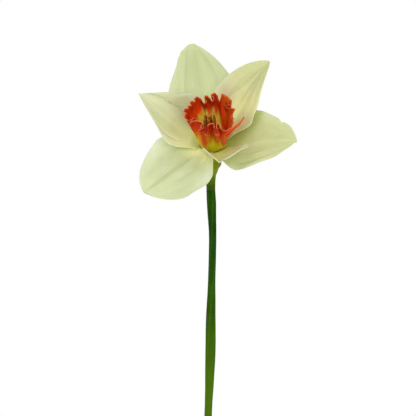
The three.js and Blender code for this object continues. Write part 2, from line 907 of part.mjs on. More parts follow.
// A thin stalk from the disc up to height, swollen as radiusAt says.
function stalk(ringRadius, angle, spread, height, radiusAt) {
  const foot = -SEAT + GAP + STAMENS.discHeight / 2;
  const at = (radius, z) =>
    new THREE.Vector3(radius * Math.cos(angle), radius * Math.sin(angle), z);
  const curve = new THREE.QuadraticBezierCurve3(
    at(ringRadius, foot),
    at(ringRadius + spread, (foot + height) / 2),
    at(ringRadius + spread / 2, height),
  );
  return solidOf(loft(ringsAlong(curve, STAMENS.steps, STAMENS.sides, radiusAt)));
}

function stamens() {
  const foot = -SEAT + GAP;
  const disc = turned(
    [
      [0, foot],
      [STAMENS.discRadius, foot],
      [STAMENS.discRadius, foot + STAMENS.discHeight],
      [0, foot + STAMENS.discHeight],
    ],
    STAMENS.discSides,
  );
  let solid = solidOf(disc);
  const antherAt = (u) => {
    const t = clamp((u - STAMENS.antherFrom) / (1 - STAMENS.antherFrom), 0, 1);
    const swell = t > 0 ? Math.sqrt(Math.sin(Math.PI * Math.min(t, STAMENS.antherTo))) : 0;
    return STAMENS.filament + (STAMENS.anther - STAMENS.filament) * swell;
  };
  for (let k = 0; k < STAMENS.count; k++) {
    const angle = radians((360 * k) / STAMENS.count + STAMENS.turn);
    const height = STAMENS.height - STAMENS.stagger * (k % 2);
    solid = solid.add(stalk(STAMENS.ring, angle, STAMENS.spread, height, antherAt));
  }
  const styleAt = (u) => (u > STAMENS.stigmaFrom ? STAMENS.stigma : STAMENS.style);
  solid = solid.add(stalk(0, 0, 0, STAMENS.styleHeight, styleAt));
  return geometryFrom(solid);
}

// The dry bract: it holds the back half of the scape's top and stands up behind the neck.
function spathe() {
  const grid = [];
  const middle = new THREE.Vector3(...SPATHE.foot);
  const step = SPATHE.length / SPATHE.steps;
  for (let i = 0; i <= SPATHE.steps; i++) {
    const u = i / SPATHE.steps;
    const back = radians(SPATHE.backLean[0] + (SPATHE.backLean[1] - SPATHE.backLean[0]) * u);
    const side = radians(SPATHE.sideLean * u);
    const along = new THREE.Vector3(Math.sin(side), Math.sin(back), Math.cos(back)).normalize();
    if (i > 0) {
      middle.addScaledVector(along, step);
    }
    const across = new THREE.Vector3(-1, 0, 0);
    across.addScaledVector(along, -across.dot(along)).normalize();
    const up = along.clone().cross(across);
    const opening = THREE.MathUtils.smoothstep(u, SPATHE.wrapFrom, SPATHE.wrapTo);
    const wrap = radians(SPATHE.wrap[0] + (SPATHE.wrap[1] - SPATHE.wrap[0]) * opening);
    const swell = Math.sin(Math.PI * u * SPATHE.widening);
    const widen = SPATHE.radius + (SPATHE.widest - SPATHE.radius) * swell;
    const radius = Math.max(SPATHE.tip, widen * Math.sqrt(1 - u ** 3));
    const row = [];
    for (let j = 0; j <= SPATHE.across; j++) {
      const angle = wrap * (-1 + (2 * j) / SPATHE.across);
      row.push(
        middle
          .clone()
          .addScaledVector(across, radius * Math.sin(angle))
          .addScaledVector(up, -radius * Math.cos(angle)),
      );
    }
    grid.push(row);
  }
  return sheet(grid, () => SPATHE.thickness);
}

// The whole plant in its pot.
const plant = new THREE.Group();
plant.add(named("pot", pot(), COLOURS.clay));
plant.add(named("soil", geometryFrom(soilBlock().subtract(bulbBody(GAP, false))), COLOURS.soil));
plant.add(named("bulb", geometryFrom(bulbBody(0, true)), COLOURS.bulb));

LEAVES.forEach((spec, k) => {
  const mesh = named(`leaf_${k + 1}`, leaf(spec), COLOURS.leaf);
  const azimuth = radians(spec.azimuth);
  mesh.rotation.z = azimuth;
  mesh.position.set(
    BULB.x + LEAF.footRadius * Math.cos(azimuth),
    LEAF.footRadius * Math.sin(azimuth),
    LEAF.footHeight,
  );
  plant.add(mesh);
});

plant.add(named("scape", scape(), COLOURS.scape));
plant.add(named("flower_neck", neck(), COLOURS.neck));
plant.add(named("spathe", spathe(), COLOURS.spathe));

const bloom = new THREE.Group();
const { right, back, out } = bloomAxes();
bloom.quaternion.setFromRotationMatrix(new THREE.Matrix4().makeBasis(right, back, out));
bloom.position.set(...BLOOM.mouth);
for (const spec of TEPALS) {
  bloom.add(named(spec.name, tepal(spec), COLOURS.tepal));
}
bloom.add(named("corona", corona(), COLOURS.corona));
bloom.add(named("stamens_and_style", stamens(), COLOURS.stamens));
plant.add(bloom);

export default plant;
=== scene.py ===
"""A daffodil in flower in a round clay pot, dressed over its solids. Metres, +Z up."""
import math
import random

import bpy
from mathutils import Matrix, Vector, noise


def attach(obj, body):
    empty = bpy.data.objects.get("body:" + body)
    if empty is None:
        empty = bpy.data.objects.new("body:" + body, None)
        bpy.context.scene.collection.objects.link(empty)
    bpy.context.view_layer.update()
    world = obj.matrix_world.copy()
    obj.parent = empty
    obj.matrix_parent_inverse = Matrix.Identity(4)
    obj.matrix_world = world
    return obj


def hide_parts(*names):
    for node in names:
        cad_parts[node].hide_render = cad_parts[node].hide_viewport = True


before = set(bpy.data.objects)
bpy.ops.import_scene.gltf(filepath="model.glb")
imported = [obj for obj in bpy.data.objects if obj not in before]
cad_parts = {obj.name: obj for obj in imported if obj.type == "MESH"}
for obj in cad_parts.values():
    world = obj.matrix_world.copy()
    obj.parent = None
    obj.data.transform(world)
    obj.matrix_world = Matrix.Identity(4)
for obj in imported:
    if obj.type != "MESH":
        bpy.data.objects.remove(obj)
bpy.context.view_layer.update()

BODY = "root"
MM = 0.001
SEED = 7
# Points of a sheet that lie nearer than this, in metres, become one where its sides are joined.
MEETING = 0.000004
# Samples in each span of a spline.
SPAN_STEPS = 24
# Where a colour mix node has its share, its two colours and its result.
MIX_SHARE = 0
MIX_COLOURS = (6, 7)
MIX_RESULT = 2

# Sizes in millimetres. The bloom's parts are placed from the middle of its mouth, out along its
# axis, and the neck ends at the seat, so far below the mouth.
BLOOM = {"mouth": (1.85, -12, 355), "tilt": 45, "lean": -0.107}
SEAT = 2.3
POT = {
    "height": 96, "foot": 38, "shoulder": 48.5, "band": 52.5, "rim": 55, "band_height": 23,
    "wall": 5, "floor": 7, "drain": 6, "edge": 1.2, "sides": 160,
}
SOIL = {
    "level": 82, "mound": 2.5, "lump": 0.9, "crumb": 0.55, "sides": 128, "rings": 44,
    "gap": 0.6, "bevel": 1.2,
}
BULB = {"x": -2, "neck": 80, "nose": 90, "neck_radius": 13.5, "nose_radius": 12.4, "socket": 79.3}
TUNIC = {
    "low": 77, "high": 91, "proud": 0.55, "draw_in": 1.2, "flare": 1.1, "ridge": 0.12, "ridges": 26,
    "crumple": 0.35, "tear": 1.5, "thickness": 0.25, "columns": 120, "rows": 30,
}
CRUMBS = {
    "count": 420, "shapes": 4, "uneven": 0.45, "from_wall": 2.5, "from_bulb": 1.5, "largest": 1.5,
    "size": (0.4, 1.0), "flat": (0.35, 1.0), "long": (0.8, 1.7),
}

# Leaves: azimuth, length, lean from upright at foot and tip, sideways sweep, twist, half width.
LEAVES = [
    {"azimuth": 172, "length": 130, "lean": (4, 88), "sweep": 6, "twist": 40, "half": 5.8},
    {"azimuth": 26, "length": 160, "lean": (4, 94), "sweep": 7, "twist": -50, "half": 5.6},
    {"azimuth": 244, "length": 126, "lean": (3, 50), "sweep": 7, "twist": 70, "half": 5.4},
    {"azimuth": 99, "length": 130, "lean": (3, 54), "sweep": 6, "twist": -60, "half": 5.6},
    {"azimuth": 316, "length": 118, "lean": (4, 38), "sweep": 5, "twist": 45, "half": 5.0},
]
LEAF = {
    "foot_radius": 6.4, "channel": 0.26, "foot_share": 0.55, "widen_by": 0.36, "tip_from": 0.88,
    "thickness": 1.9, "edge_share": 0.42, "keel": 0.35, "keel_width": 0.14, "rib": 0.05, "ribs": 24,
    "wave": 0.35, "columns": 28, "rows": 110,
}

# Scape: half widths of its oval, keels, ribs, turns, and its middle line.
SCAPE = {
    "wide": 2.3, "deep": 1.75, "keel": 0.32, "ribs": 13, "rib": 0.06, "turns": 2.9, "taper": 1.18,
    "sides": 84, "rows": 260,
    "line": [
        (-2, 0, 79.3), (-2.3, 0.2, 118), (-1.5, 1.6, 170), (0.05, 3.2, 215), (1.1, 4.2, 242),
        (1.4, 4.9, 262), (1.9, 5.5, 284), (2.4, 6, 306), (1.9, 6.1, 321), (1.45, 6.1, 331.3),
    ],
}
NECK = {
    "run": [
        (1.45, 6.1, 331.3, 2.3), (1.5, 5.9, 335, 2.3), (1.7, 4, 338.6, 2.25), (2.0, 0.9, 342.4, 3.1),
        (2.5, -2.3, 345.6, 4.3), (2.6, -5, 348.1, 3.6), (2.35, -7.6, 350.7, 3.7),
    ],
    "mouth": 7.3, "lobes": 0.07, "ovary": 0.42, "ovary_reach": 0.24, "sides": 72, "rows": 90,
}

# Tepals: place round the axis, distance from it, height and length, and how far the foot's edge
# dips. For each side, counterclockwise and clockwise: half width, where it is widest, fullness,
# roundness, and its lean from the midrib in degrees. Each lean, pitch, yaw, roll and cup is given
# at foot, middle and tip.
# Folds: line across at foot and tip, height, width, start, end, and whether it is sharp.
# Curls: side, share of the half width, turn in degrees, start, end.
# Waves: side, height, cycles, phase, start, end. Swells: side, place, reach, growth.
TEPAL = {
    "foot_half": 4.4, "tip_half": 0.5, "thickness": 0.36, "hug": 1.8, "hug_to": 0.22, "skirt_to": 0.1,
    "uneven": 0.12, "columns": 76, "rows": 88,
}
TEPALS = {
    "tepal_top": {
        "phi": 99, "ring": 6, "z": -1.5, "length": 50, "skirt": 0,
        "ccw": (19, 0.42, 1.5, 0.8, (0, 0, 0)), "cw": (17.5, 0.52, 1.6, 0.9, (0, 0, 0)),
        "pitch": (20, 38, 37), "yaw": (0, 0, 0), "roll": (0, 0, 0), "cup": (0.2, 0.22, 0.3),
        "folds": [
            (0.4, 0.6, 1.1, 0.14, 0.1, 1.0, 1), (-0.1, -0.25, -2.2, 0.34, 0.25, 1.05, 0),
            (-0.5, -0.62, 0.9, 0.12, 0.2, 1.0, 1), (0.12, 0.16, 0.25, 0.1, 0.1, 0.8, 0),
        ],
        "curls": [(1, 0.3, -50, 0.15, 1.1), (-1, 0.22, -60, 0.35, 1.0)],
        "waves": [(-1, 0.8, 2.1, 0.3, 0.3, 1.0), (1, 0.4, 1.6, 0.1, 0.3, 1.0)],
        "swells": [(1, 0.93, 0.1, 2.8), (1, 0.9, 0.012, -0.6), (1, 0.955, 0.01, -0.5)],
        "tone": "cool",
    },
    "tepal_right": {
        "phi": -25, "ring": 6, "z": -1.5, "length": 43.3, "skirt": 0,
        "ccw": (19.5, 0.36, 1.7, 0.75, (0, 0, 0)), "cw": (14.2, 0.3, 1.2, 0.9, (0, 0, 0)),
        "pitch": (10, 24, 26), "yaw": (0, 0, 0), "roll": (0, 22, 22), "cup": (0.4, 0.2, 0),
        "folds": [
            (0.15, 0.2, 0.6, 0.1, 0.3, 1.0, 0), (-0.35, -0.3, 0.5, 0.09, 0.3, 0.9, 0),
            (0.5, 0.45, -0.6, 0.14, 0.25, 0.95, 0), (0.0, 0.04, -0.4, 0.07, 0.15, 0.9, 1),
            (-0.6, -0.66, -0.4, 0.1, 0.2, 0.9, 0), (0.74, 0.7, 0.4, 0.08, 0.3, 0.9, 0),
        ],
        "curls": [(-1, 0.2, -25, 0.3, 1.0), (1, 0.14, -30, 0.3, 0.75)],
        "waves": [(-1, 0.9, 2.3, 0.15, 0.15, 1.0), (1, 0.6, 1.7, 0.45, 0.3, 1.0)],
        "swells": [
            (1, 0.1, 0.18, 6.0), (1, 0.0, 0.1, 3.0), (1, 0.74, 0.02, -1.0), (-1, 0.97, 0.02, -0.6),
            (-1, 0.62, 0.14, -1.3), (1, 0.42, 0.12, 0.7), (1, 0.88, 0.08, 1.0),
        ],
        "tone": "middle",
    },
    "tepal_lower_left": {
        "phi": 224, "ring": 6, "z": -1.5, "length": 40, "skirt": 0,
        "ccw": (21.6, 0.46, 2, 0.55, (0, 0, 0)), "cw": (19.5, 0.34, 1.7, 0.66, (0, 0, 0)),
        "pitch": (10, 0, -10), "yaw": (0, 0, 0), "roll": (0, 0, 0), "cup": (0.3, 0.1, 0),
        "folds": [
            (0.0, 0.04, -1.2, 0.08, 0.02, 0.98, 1), (0.4, 0.3, -0.9, 0.07, 0.02, 0.75, 1),
            (0.2, 0.16, 0.7, 0.12, 0.05, 0.9, 0), (-0.3, -0.34, 0.6, 0.14, 0.05, 0.9, 0),
            (0.66, 0.6, -0.5, 0.1, 0.15, 0.9, 0), (-0.62, -0.6, -0.4, 0.1, 0.2, 0.9, 0),
            (-0.12, -0.14, -0.4, 0.06, 0.1, 0.8, 1),
        ],
        "curls": [(1, 0.08, 60, 0.2, 0.8), (-1, 0.1, -30, 0.2, 0.9)],
        "waves": [(1, 0.6, 1.4, 0.2, 0.3, 1.0), (-1, 0.4, 1.8, 0.6, 0.3, 1.0)],
        "swells": [(-1, 0.2, 0.16, 2.4), (-1, 0.0, 0.14, 5.5), (1, 0.8, 0.14, 1.8)],
        "tone": "fresh",
    },
    "tepal_upper_right": {
        "phi": 54, "ring": 6.7, "z": 0, "length": 45, "skirt": 1.7,
        "ccw": (14, 0.45, 1.7, 0.75, (10, 24, 24)), "cw": (16, 0.45, 1.7, 0.9, (10, 24, 24)),
        "pitch": (20, 36, 30), "yaw": (0, -10, -20), "roll": (0, 0, 0), "cup": (0.2, 0.2, 0.2),
        "folds": [
            (0.06, 0.0, -1.1, 0.1, 0.3, 1.1, 1), (0.75, 0.1, -1.6, 0.13, 0.35, 1.0, 1),
            (0.62, 0.5, 0.9, 0.1, 0.1, 0.85, 1), (0.85, 0.7, 0.6, 0.1, 0.15, 0.8, 0),
            (-0.5, -0.5, 0.7, 0.16, 0.2, 0.95, 0), (-0.25, -0.2, -0.35, 0.07, 0.2, 0.8, 0),
        ],
        "curls": [(-1, 0.25, 28, 0.0, 0.35), (-1, 0.16, -40, 0.35, 0.95), (1, 0.12, -30, 0.3, 0.9)],
        "waves": [(-1, 0.5, 1.6, 0.2, 0.1, 1.0)],
        "swells": [(-1, 0.21, 0.11, 4.6), (-1, 0.5, 0.15, 0.6), (-1, 0.95, 0.06, 0.8)],
        "tone": "beige",
    },
    "tepal_left": {
        "phi": 151, "ring": 6.3, "z": -0.3, "length": 38.8, "skirt": 1.7,
        "ccw": (15.5, 0.3, 1.2, 1, (10, 15, 15)), "cw": (15, 0.47, 1.3, 1, (10, 15, 15)),
        "pitch": (20, 29, 30), "yaw": (0, 0, 0), "roll": (0, -6, -4), "cup": (0.2, 0.2, 0.2),
        "folds": [
            (-0.1, -0.95, -2.2, 0.15, 0.1, 1.0, 1), (-0.55, -1.2, 1.3, 0.16, 0.1, 0.7, 0),
            (0.05, 0.0, 0.5, 0.16, 0.1, 0.9, 0), (0.45, 1.2, -0.6, 0.08, 0.1, 0.7, 1),
            (0.95, 0.9, -1.2, 0.3, 0.0, 0.6, 0),
        ],
        "curls": [(-1, 0.3, -40, 0.35, 0.75), (-1, 0.2, 40, 0.7, 1.05), (1, 0.12, -35, 0.45, 0.95)],
        "waves": [(-1, 0.9, 1.8, 0.25, 0.2, 1.0), (1, 0.3, 2, 0, 0.3, 1.0)],
        "swells": [
            (-1, 0.26, 0.16, 4.2), (-1, 0.75, 0.15, 1.0), (-1, 0.46, 0.07, 1.3), (-1, 0.62, 0.06, -0.8),
            (1, 0.04, 0.14, 1.6),
        ],
        "tone": "warm",
    },
    "tepal_front": {
        "phi": 278.6, "ring": 6.7, "z": 0, "length": 32.4, "skirt": 1.7,
        "ccw": (17.2, 0.5, 1.0, 1.2, (6, 29, 22)), "cw": (9.2, 0.6, 1.5, 0.8, (10, 30, 30)),
        "pitch": (18, 34, 38), "yaw": (0, 0, 0), "roll": (0, -12, -18), "cup": (0.1, 0.1, 0.1),
        "folds": [
            (0.0, 0.0, -0.7, 0.12, 0.2, 1.1, 1), (0.5, 0.5, -0.3, 0.12, 0.3, 0.9, 0),
        ],
        "curls": [(1, 0.16, -55, 0.3, 1.05), (-1, 0.14, 40, 0.3, 1.05)],
        "waves": [(1, 0.5, 3.6, 0.1, 0.3, 1.0), (-1, 0.3, 3, 0.2, 0.3, 1.0)],
        "swells": [(1, 0.76, 0.13, -3.2)],
        "tone": "olive",
    },
}

# Corona: the cup, its flutes, how its wall is gathered to the rim, and the arches under low places.
# Its rim is read in the upright plane at seen_at.
CORONA = {
    "foot_radius": 5.4, "foot_aside": 1.1, "rim_radius": 11.6, "foot": -1.7, "depth": 21.5, "flare": 0.6,
    "flute_at": 236, "flutes": 5, "flute_depth": 1.05, "thickness": 0.32, "gather_from": 0.22,
    "gather": 1.3, "ease": 14, "lip": 0.3, "lip_from": 0.86, "wrinkle": 0.72, "seen_at": -26.1,
    "arch": 6.5, "arch_below": -1.3, "columns": 7, "rows": 48,
}
# Its rim as seen from the front, counterclockwise from above the tongue: right and up from the
# middle of the mouth, and how far it stands beyond the cup's depth.
RIM = [
    (9.6, 6.4, -1.0), (10.0, 9.1, -0.4), (10.2, 11.3, 0.2), (8.6, 12.6, -0.8), (10.3, 14.0, 0.6),
    (10.2, 15.4, 0.8), (9.0, 15.9, 0.2), (7.3, 16.4, -0.8), (5.4, 17.9, -1.4), (5.9, 18.9, -1.0),
    (7.6, 17.9, -0.2), (9.2, 17.6, 0.8), (9.5, 18.8, 1.6), (8.7, 20.5, 2.2), (7.1, 22.0, 2.4),
    (5.6, 22.9, 2.4), (4.6, 22.6, 2.0),
    (4.2, 21.0, 1.4), (3.7, 19.4, 0.2), (2.9, 20.3, 0.8), (2.7, 22.0, 1.8), (1.6, 23.4, 2.4),
    (0.3, 23.3, 2.2), (-0.3, 22.4, 1.6), (0.6, 21.7, 1.4), (1.0, 20.6, 1.0), (0.3, 19.4, 0.2),
    (-0.9, 20.3, 0.8), (-2.2, 21.8, 1.4), (-3.3, 21.7, 1.4), (-3.4, 20.3, 0.8), (-2.4, 18.8, 0.0),
    (-3.7, 18.2, -0.4), (-4.7, 19.4, 0.4), (-5.6, 20.8, 1.2), (-7.2, 21.3, 1.5), (-8.6, 20.8, 1.4),
    (-8.4, 19.4, 0.6), (-9.8, 19.3, 1.0), (-10.5, 18.5, 1.0), (-10.0, 17.2, 0.0), (-11.3, 17.3, 0.8),
    (-10.9, 16.1, 0.0), (-11.9, 15.8, 0.8), (-12.3, 14.6, 0.8), (-11.5, 13.6, 0.0), (-12.7, 13.3, 0.6),
    (-13.2, 11.9, 0.4), (-12.8, 10.2, 0.0), (-11.4, 9.9, -1.0), (-8.6, 11.4, -1.4), (-10.2, 9.4, -1.0),
    (-11.2, 8.5, -0.6), (-9.3, 10.0, -0.2), (-6.8, 10.5, 0.0), (-5.0, 10.1, -0.2), (-4.4, 8.6, -0.8),
    (-5.4, 6.9, -1.2), (-4.6, 5.7, -1.4), (-6.4, 5.1, -1.6), (-5.9, 3.7, -2.0), (-4.6, 4.6, -2.0),
    (-3.5, 3.3, -2.4), (-2.6, 3.5, -2.4), (-2.2, 6.0, -1.8), (-1.5, 8.2, -1.0), (0.1, 9.0, -0.8),
    (1.2, 7.8, -1.2), (0.9, 5.0, -1.8), (1.6, 3.3, -2.2), (3.2, 3.3, -2.2), (3.4, 4.7, -2.0),
    (2.3, 6.5, -1.6), (2.4, 8.0, -1.2), (3.5, 8.3, -1.0), (4.1, 6.2, -1.6), (5.3, 4.8, -1.8),
    (7.2, 4.8, -1.6), (8.6, 5.6, -1.4),
]
TONGUE = {
    "line": [(6.6, 2.4, -5.4), (8.8, 4.7, -2.6), (11.2, 6.7, -1.4), (13.6, 8.7, -0.6), (15.8, 11.5, 0.2)],
    "half": 1.4, "tip_half": 0.25, "trough": 0.3, "thickness": 0.5, "columns": 8, "rows": 28,
}
STAMENS = {
    "disc": 3.9, "disc_height": 0.8, "count": 6, "ring": 2.3, "spread": 0.25, "height": 16.9,
    "filament": 0.42, "anther": 0.85, "anther_length": 6.4, "style_height": 17.4, "style": 0.6,
    "stigma": 0.95, "first": 20, "hub": 0.4, "disc_edge": 0.2, "disc_sides": 40,
    "stamen_grid": (16, 60), "style_grid": (24, 80),
}
SPATHE = {
    "foot": (1.3, 6.1, 330.5), "radius": 3.3, "length": 34, "thickness": 0.22, "wrap": (34, 58),
    "back": 34, "side": -22, "widest": 6.2, "crumple": 0.7, "crease": 0.22, "columns": 40, "rows": 60,
}

# Camera, lights and floor, in metres.
CAMERA = {"place": (0, -0.5898, 0.32215), "lens": 100, "sensor": 36}
LIT = (0, -0.01, 0.3)
LIGHTS = {
    "key": {"place": (-0.75, -0.75, 0.95), "size": 1.2, "energy": 4, "color": (1.0, 1.0, 0.98)},
    "fill": {"place": (0.25, -1.1, 0.36), "size": 1.2, "energy": 6, "color": (0.98, 0.99, 1.0)},
    "back": {"place": (0.2, 0.9, 0.8), "size": 0.7, "energy": 2, "color": (1.0, 1.0, 1.0)},
}
FLOOR = {"radius": 1.05, "sides": 128}
SKY = {"light": 0.7, "seen_brighter_by": 0.3}

# Colours are screen values of 0 to 255. Tepals: the strength of the midrib, and where on the
# sheet's own map the other shades lie (see the margin group). Edge is the paler margin with a
# painted highlight on it, and tip is mostly painted shade at the tips. Foot is the throat's
# yellow-green; on the middle tone it is painted shade beside the cup, and on the fresh, warm and
# beige tones it is painted light on feet that lie in shade.
RIB_GREEN = (158, 164, 116)
TONES = {
    "cool": {
        "middle": (193, 201, 160), "edge": (209, 220, 178), "dim": (183, 188, 148),
        "foot": (216, 208, 104), "tip": (168, 174, 138), "rib": 0.12, "map": {"Reach": 0.32},
    },
    "fresh": {
        "middle": (195, 203, 163), "edge": (221, 232, 195), "dim": (179, 185, 146),
        "foot": (246, 248, 172), "tip": (190, 198, 158), "rib": 0.5,
        "map": {"Reach": 0.3, "Width": 0.28, "Lean": 1.0},
    },
    "middle": {
        "middle": (192, 195, 152), "edge": (199, 206, 165), "dim": (182, 183, 136),
        "foot": (124, 110, 24), "tip": (182, 186, 141), "rib": 0.2,
        "map": {"Reach": 0.36, "Slant": 0.5},
    },
    "warm": {
        "middle": (195, 197, 151), "edge": (224, 230, 192), "dim": (189, 190, 139),
        "foot": (246, 254, 168), "tip": (196, 200, 166), "rib": 0.1,
        "map": {"Reach": 0.4, "Lean": -1.0},
    },
    "beige": {
        "middle": (209, 207, 164), "edge": (214, 220, 172), "dim": (198, 190, 142),
        "foot": (238, 244, 158), "tip": (168, 168, 126), "rib": 0.2,
        "map": {"Reach": 0.6, "Slant": -0.6, "Lean": 1.0},
    },
    "olive": {
        "middle": (202, 205, 152), "edge": (214, 225, 190), "dim": (190, 190, 130),
        "foot": (222, 214, 96), "tip": (186, 188, 140), "rib": 0.2, "map": {"Reach": 0.5},
    },
}

# The cup's two sides. Red starts and is full at shares of the height, moved by the folds (crest
# and hollow), round the cup (lean, at phase) and in a pocket on its right, where painted light also
# lifts the wall's shade. Shade is painted shade in the valleys of the folds, and front painted shade
# on the wall near the viewer. Light is the streaks' colour and the painted highlight on fold crests
# and along the rim; top is the colour near the edge. The inside's yellow and green are paler than
# the outside's, partly as painted light against the shade deep in the cup.
# Dark red that the cup's finish lays on as painted shade.
PAINTED_SHADE_RED = (140, 14, 0)
CUP = {
    "corona_outside": {
        "deep": (208, 44, 4), "mid": (218, 74, 16), "light": (238, 138, 78), "top": (170, 36, 4),
        "yellow": (216, 206, 50), "green": (194, 188, 0), "start": 0.32, "full": 0.63,
        "crest": 0.2, "hollow": 0.05, "lean": 0.06, "phase": 0.2, "pocket": 0, "shade": 0.25,
        "front": 0.0,
    },
    "corona_inside": {
        "deep": (208, 30, 0), "mid": (220, 66, 4), "light": (234, 124, 36), "top": (150, 42, 6),
        "yellow": (250, 236, 120), "green": (236, 212, 60), "start": 0.36, "full": 0.62,
        "crest": 0.0, "hollow": 0.18, "lean": -0.12, "phase": 2.3, "pocket": 0.45, "shade": 0.6,
        "front": 0.65,
    },
}

# Small mathematics.


def clamp(x, low=0.0, high=1.0):
    return max(low, min(high, x))


def mix(low, high, share):
    return low + (high - low) * share


def smooth(low, high, x):
    t = clamp((x - low) / (high - low))
    return t * t * (3 - 2 * t)


def window(start, end, u, blur):
    """Rises after start and falls before end."""
    return smooth(start, start + blur, u) * (1 - smooth(end - blur, end, u))


def along_three(values, u):
    """The curve through three values at foot, middle and tip."""
    foot, middle, tip = values
    return foot * (1 - u) * (1 - 2 * u) + middle * 4 * u * (1 - u) + tip * u * (2 * u - 1)


def round_at(angle, radius=1.0, height=0.0, x=0.0):
    """A place at an angle round the upright axis through x."""
    return Vector((x + radius * math.cos(angle), radius * math.sin(angle), height))


def grain(x, y, z):
    return noise.noise(Vector((x, y, z)))


def square_to(ahead, near):
    """The direction nearest to near that is square to ahead."""
    return (near - ahead * near.dot(ahead)).normalized()


def between(a, b, c, d, t):
    """The smooth curve through four places, at t of the way from the second to the third."""
    return 0.5 * (2 * b + (c - a) * t + (2 * a - 5 * b + 4 * c - d) * t ** 2
                  + (3 * b - a - 3 * c + d) * t ** 3)


def travel(points):
    """How far a line has come at each of its points."""
    reach = [0.0]
    for before, after in zip(points, points[1:]):
        reach.append(reach[-1] + (after - before).length)
    return reach


def span_at(reach, share):
    """The span of a line in which a share of its length falls, and how far along that span."""
    goal = share * reach[-1]
    k = 0
    while k < len(reach) - 2 and reach[k + 1] < goal:
        k += 1
    return k, (goal - reach[k]) / (reach[k + 1] - reach[k])


def spline(points):
    """The smooth curve through the points, by its share of length from 0 to 1."""
    points = [Vector(p) for p in points]
    padded = [2 * points[0] - points[1]] + points + [2 * points[-1] - points[-2]]
    samples = []
    for k in range(len(points) - 1):
        samples += [between(*padded[k:k + 4], step / SPAN_STEPS) for step in range(SPAN_STEPS)]
    samples.append(points[-1])
    reach = travel(samples)

    def at(share):
        k, part = span_at(reach, clamp(share))
        return samples[k].lerp(samples[k + 1], part)

    return at


def heading(curve, u, step):
    """The direction of a curve at u."""
    return (curve(min(1, u + step)) - curve(max(0, u - step))).normalized()


def bloom_frame():
    """From the bloom's own axes (right, up the back of the cup, out of the cup) to the plant's."""
    rise = math.sin(math.radians(BLOOM["tilt"]))
    out = Vector((BLOOM["lean"] * rise, -rise, rise)).normalized()
    right = square_to(out, Vector((1, 0, 0)))
    turn = Matrix((right, out.cross(right), out)).transposed().to_4x4()
    return Matrix.Translation(Vector(BLOOM["mouth"])) @ turn


TO_PLANT = bloom_frame()


# Modelling.


def start_fresh():
    """Nothing is selected when a primitive is added."""
    if bpy.context.object and bpy.context.object.mode != "OBJECT":
        bpy.ops.object.mode_set(mode="OBJECT")
    bpy.ops.object.select_all(action="DESELECT")


def pick(piece):
    start_fresh()
    piece.select_set(True)
    bpy.context.view_layer.objects.active = piece


def call_it(name):
    piece = bpy.context.object
    piece.name = name
    piece.data.name = name
    return piece


def grid_sheet(name, columns, rows, place):
    """A grid whose points go to place(u, v), u across and v along, in millimetres."""
    start_fresh()
    bpy.ops.mesh.primitive_grid_add(x_subdivisions=columns, y_subdivisions=rows, size=1)
    piece = call_it(name)
    for vertex in piece.data.vertices:
        vertex.co = place(vertex.co.x + 0.5, vertex.co.y + 0.5) * MM
    return piece


def close_up(piece, ends=True):
    """Joins the sides of a sheet where they meet, and closes its ends."""
    pick(piece)
    bpy.ops.object.mode_set(mode="EDIT")
    bpy.ops.mesh.select_all(action="SELECT")
    bpy.ops.mesh.remove_doubles(threshold=MEETING)
    if ends:
        bpy.ops.mesh.fill_holes(sides=0)
        bpy.ops.mesh.select_all(action="SELECT")
        bpy.ops.mesh.normals_make_consistent(inside=False)
    bpy.ops.object.mode_set(mode="OBJECT")
    return piece


def thicken(piece, thickness, weights=None, edge_share=1.0, **options):
    """Gives a sheet its thickness in millimetres, thinned by weights; options are the modifier's."""
    wall = piece.modifiers.new("wall", "SOLIDIFY")
    wall.thickness = thickness * MM
    wall.offset = 0
    for key, value in options.items():
        setattr(wall, key, value)
    if weights:
        group = piece.vertex_groups.new(name="wall")
        for index, weight in enumerate(weights):
            group.add([index], weight, "REPLACE")
        wall.vertex_group = "wall"
        wall.thickness_vertex_group = edge_share
    pick(piece)
    bpy.ops.object.modifier_apply(modifier="wall")


def coat(piece, angle, *finishes):
    """Shades a piece smoothly up to an angle, and gives it its materials."""
    pick(piece)
    bpy.ops.object.shade_smooth_by_angle(angle=math.radians(angle))
    for finish in finishes:
        piece.data.materials.append(finish)


def join(pieces, name):
    pick(pieces[0])
    for piece in pieces[1:]:
        piece.select_set(True)
    bpy.ops.object.join()
    return call_it(name)


def tube(name, curve, radius_at, sides, rows, turn=0.0):
    """A closed tube along a curve; radius_at(u, angle) is in millimetres."""
    frames = []
    across = Vector((1, 0, 0))
    for i in range(rows + 1):
        ahead = heading(curve, i / rows, 0.01)
        across = square_to(ahead, across)
        frames.append((curve(i / rows), across, ahead.cross(across)))

    def place(u, v):
        middle, across, deep = frames[round(v * rows)]
        angle = 2 * math.pi * round(u * sides) / sides
        radius = radius_at(v, angle)
        spot = angle + turn * v
        return middle + across * (radius * math.cos(spot)) + deep * (radius * math.sin(spot))

    return close_up(grid_sheet(name, sides, rows, place))


def walk(middle, length, rows, frame_at):
    """Places and frames up a strap; frame_at(u) gives the directions ahead and across."""
    stations = []
    for i in range(rows + 1):
        ahead, across = frame_at(i / rows)
        if i > 0:
            middle = middle + ahead * (length / rows)
        stations.append((middle, across, ahead.cross(across)))
    return stations


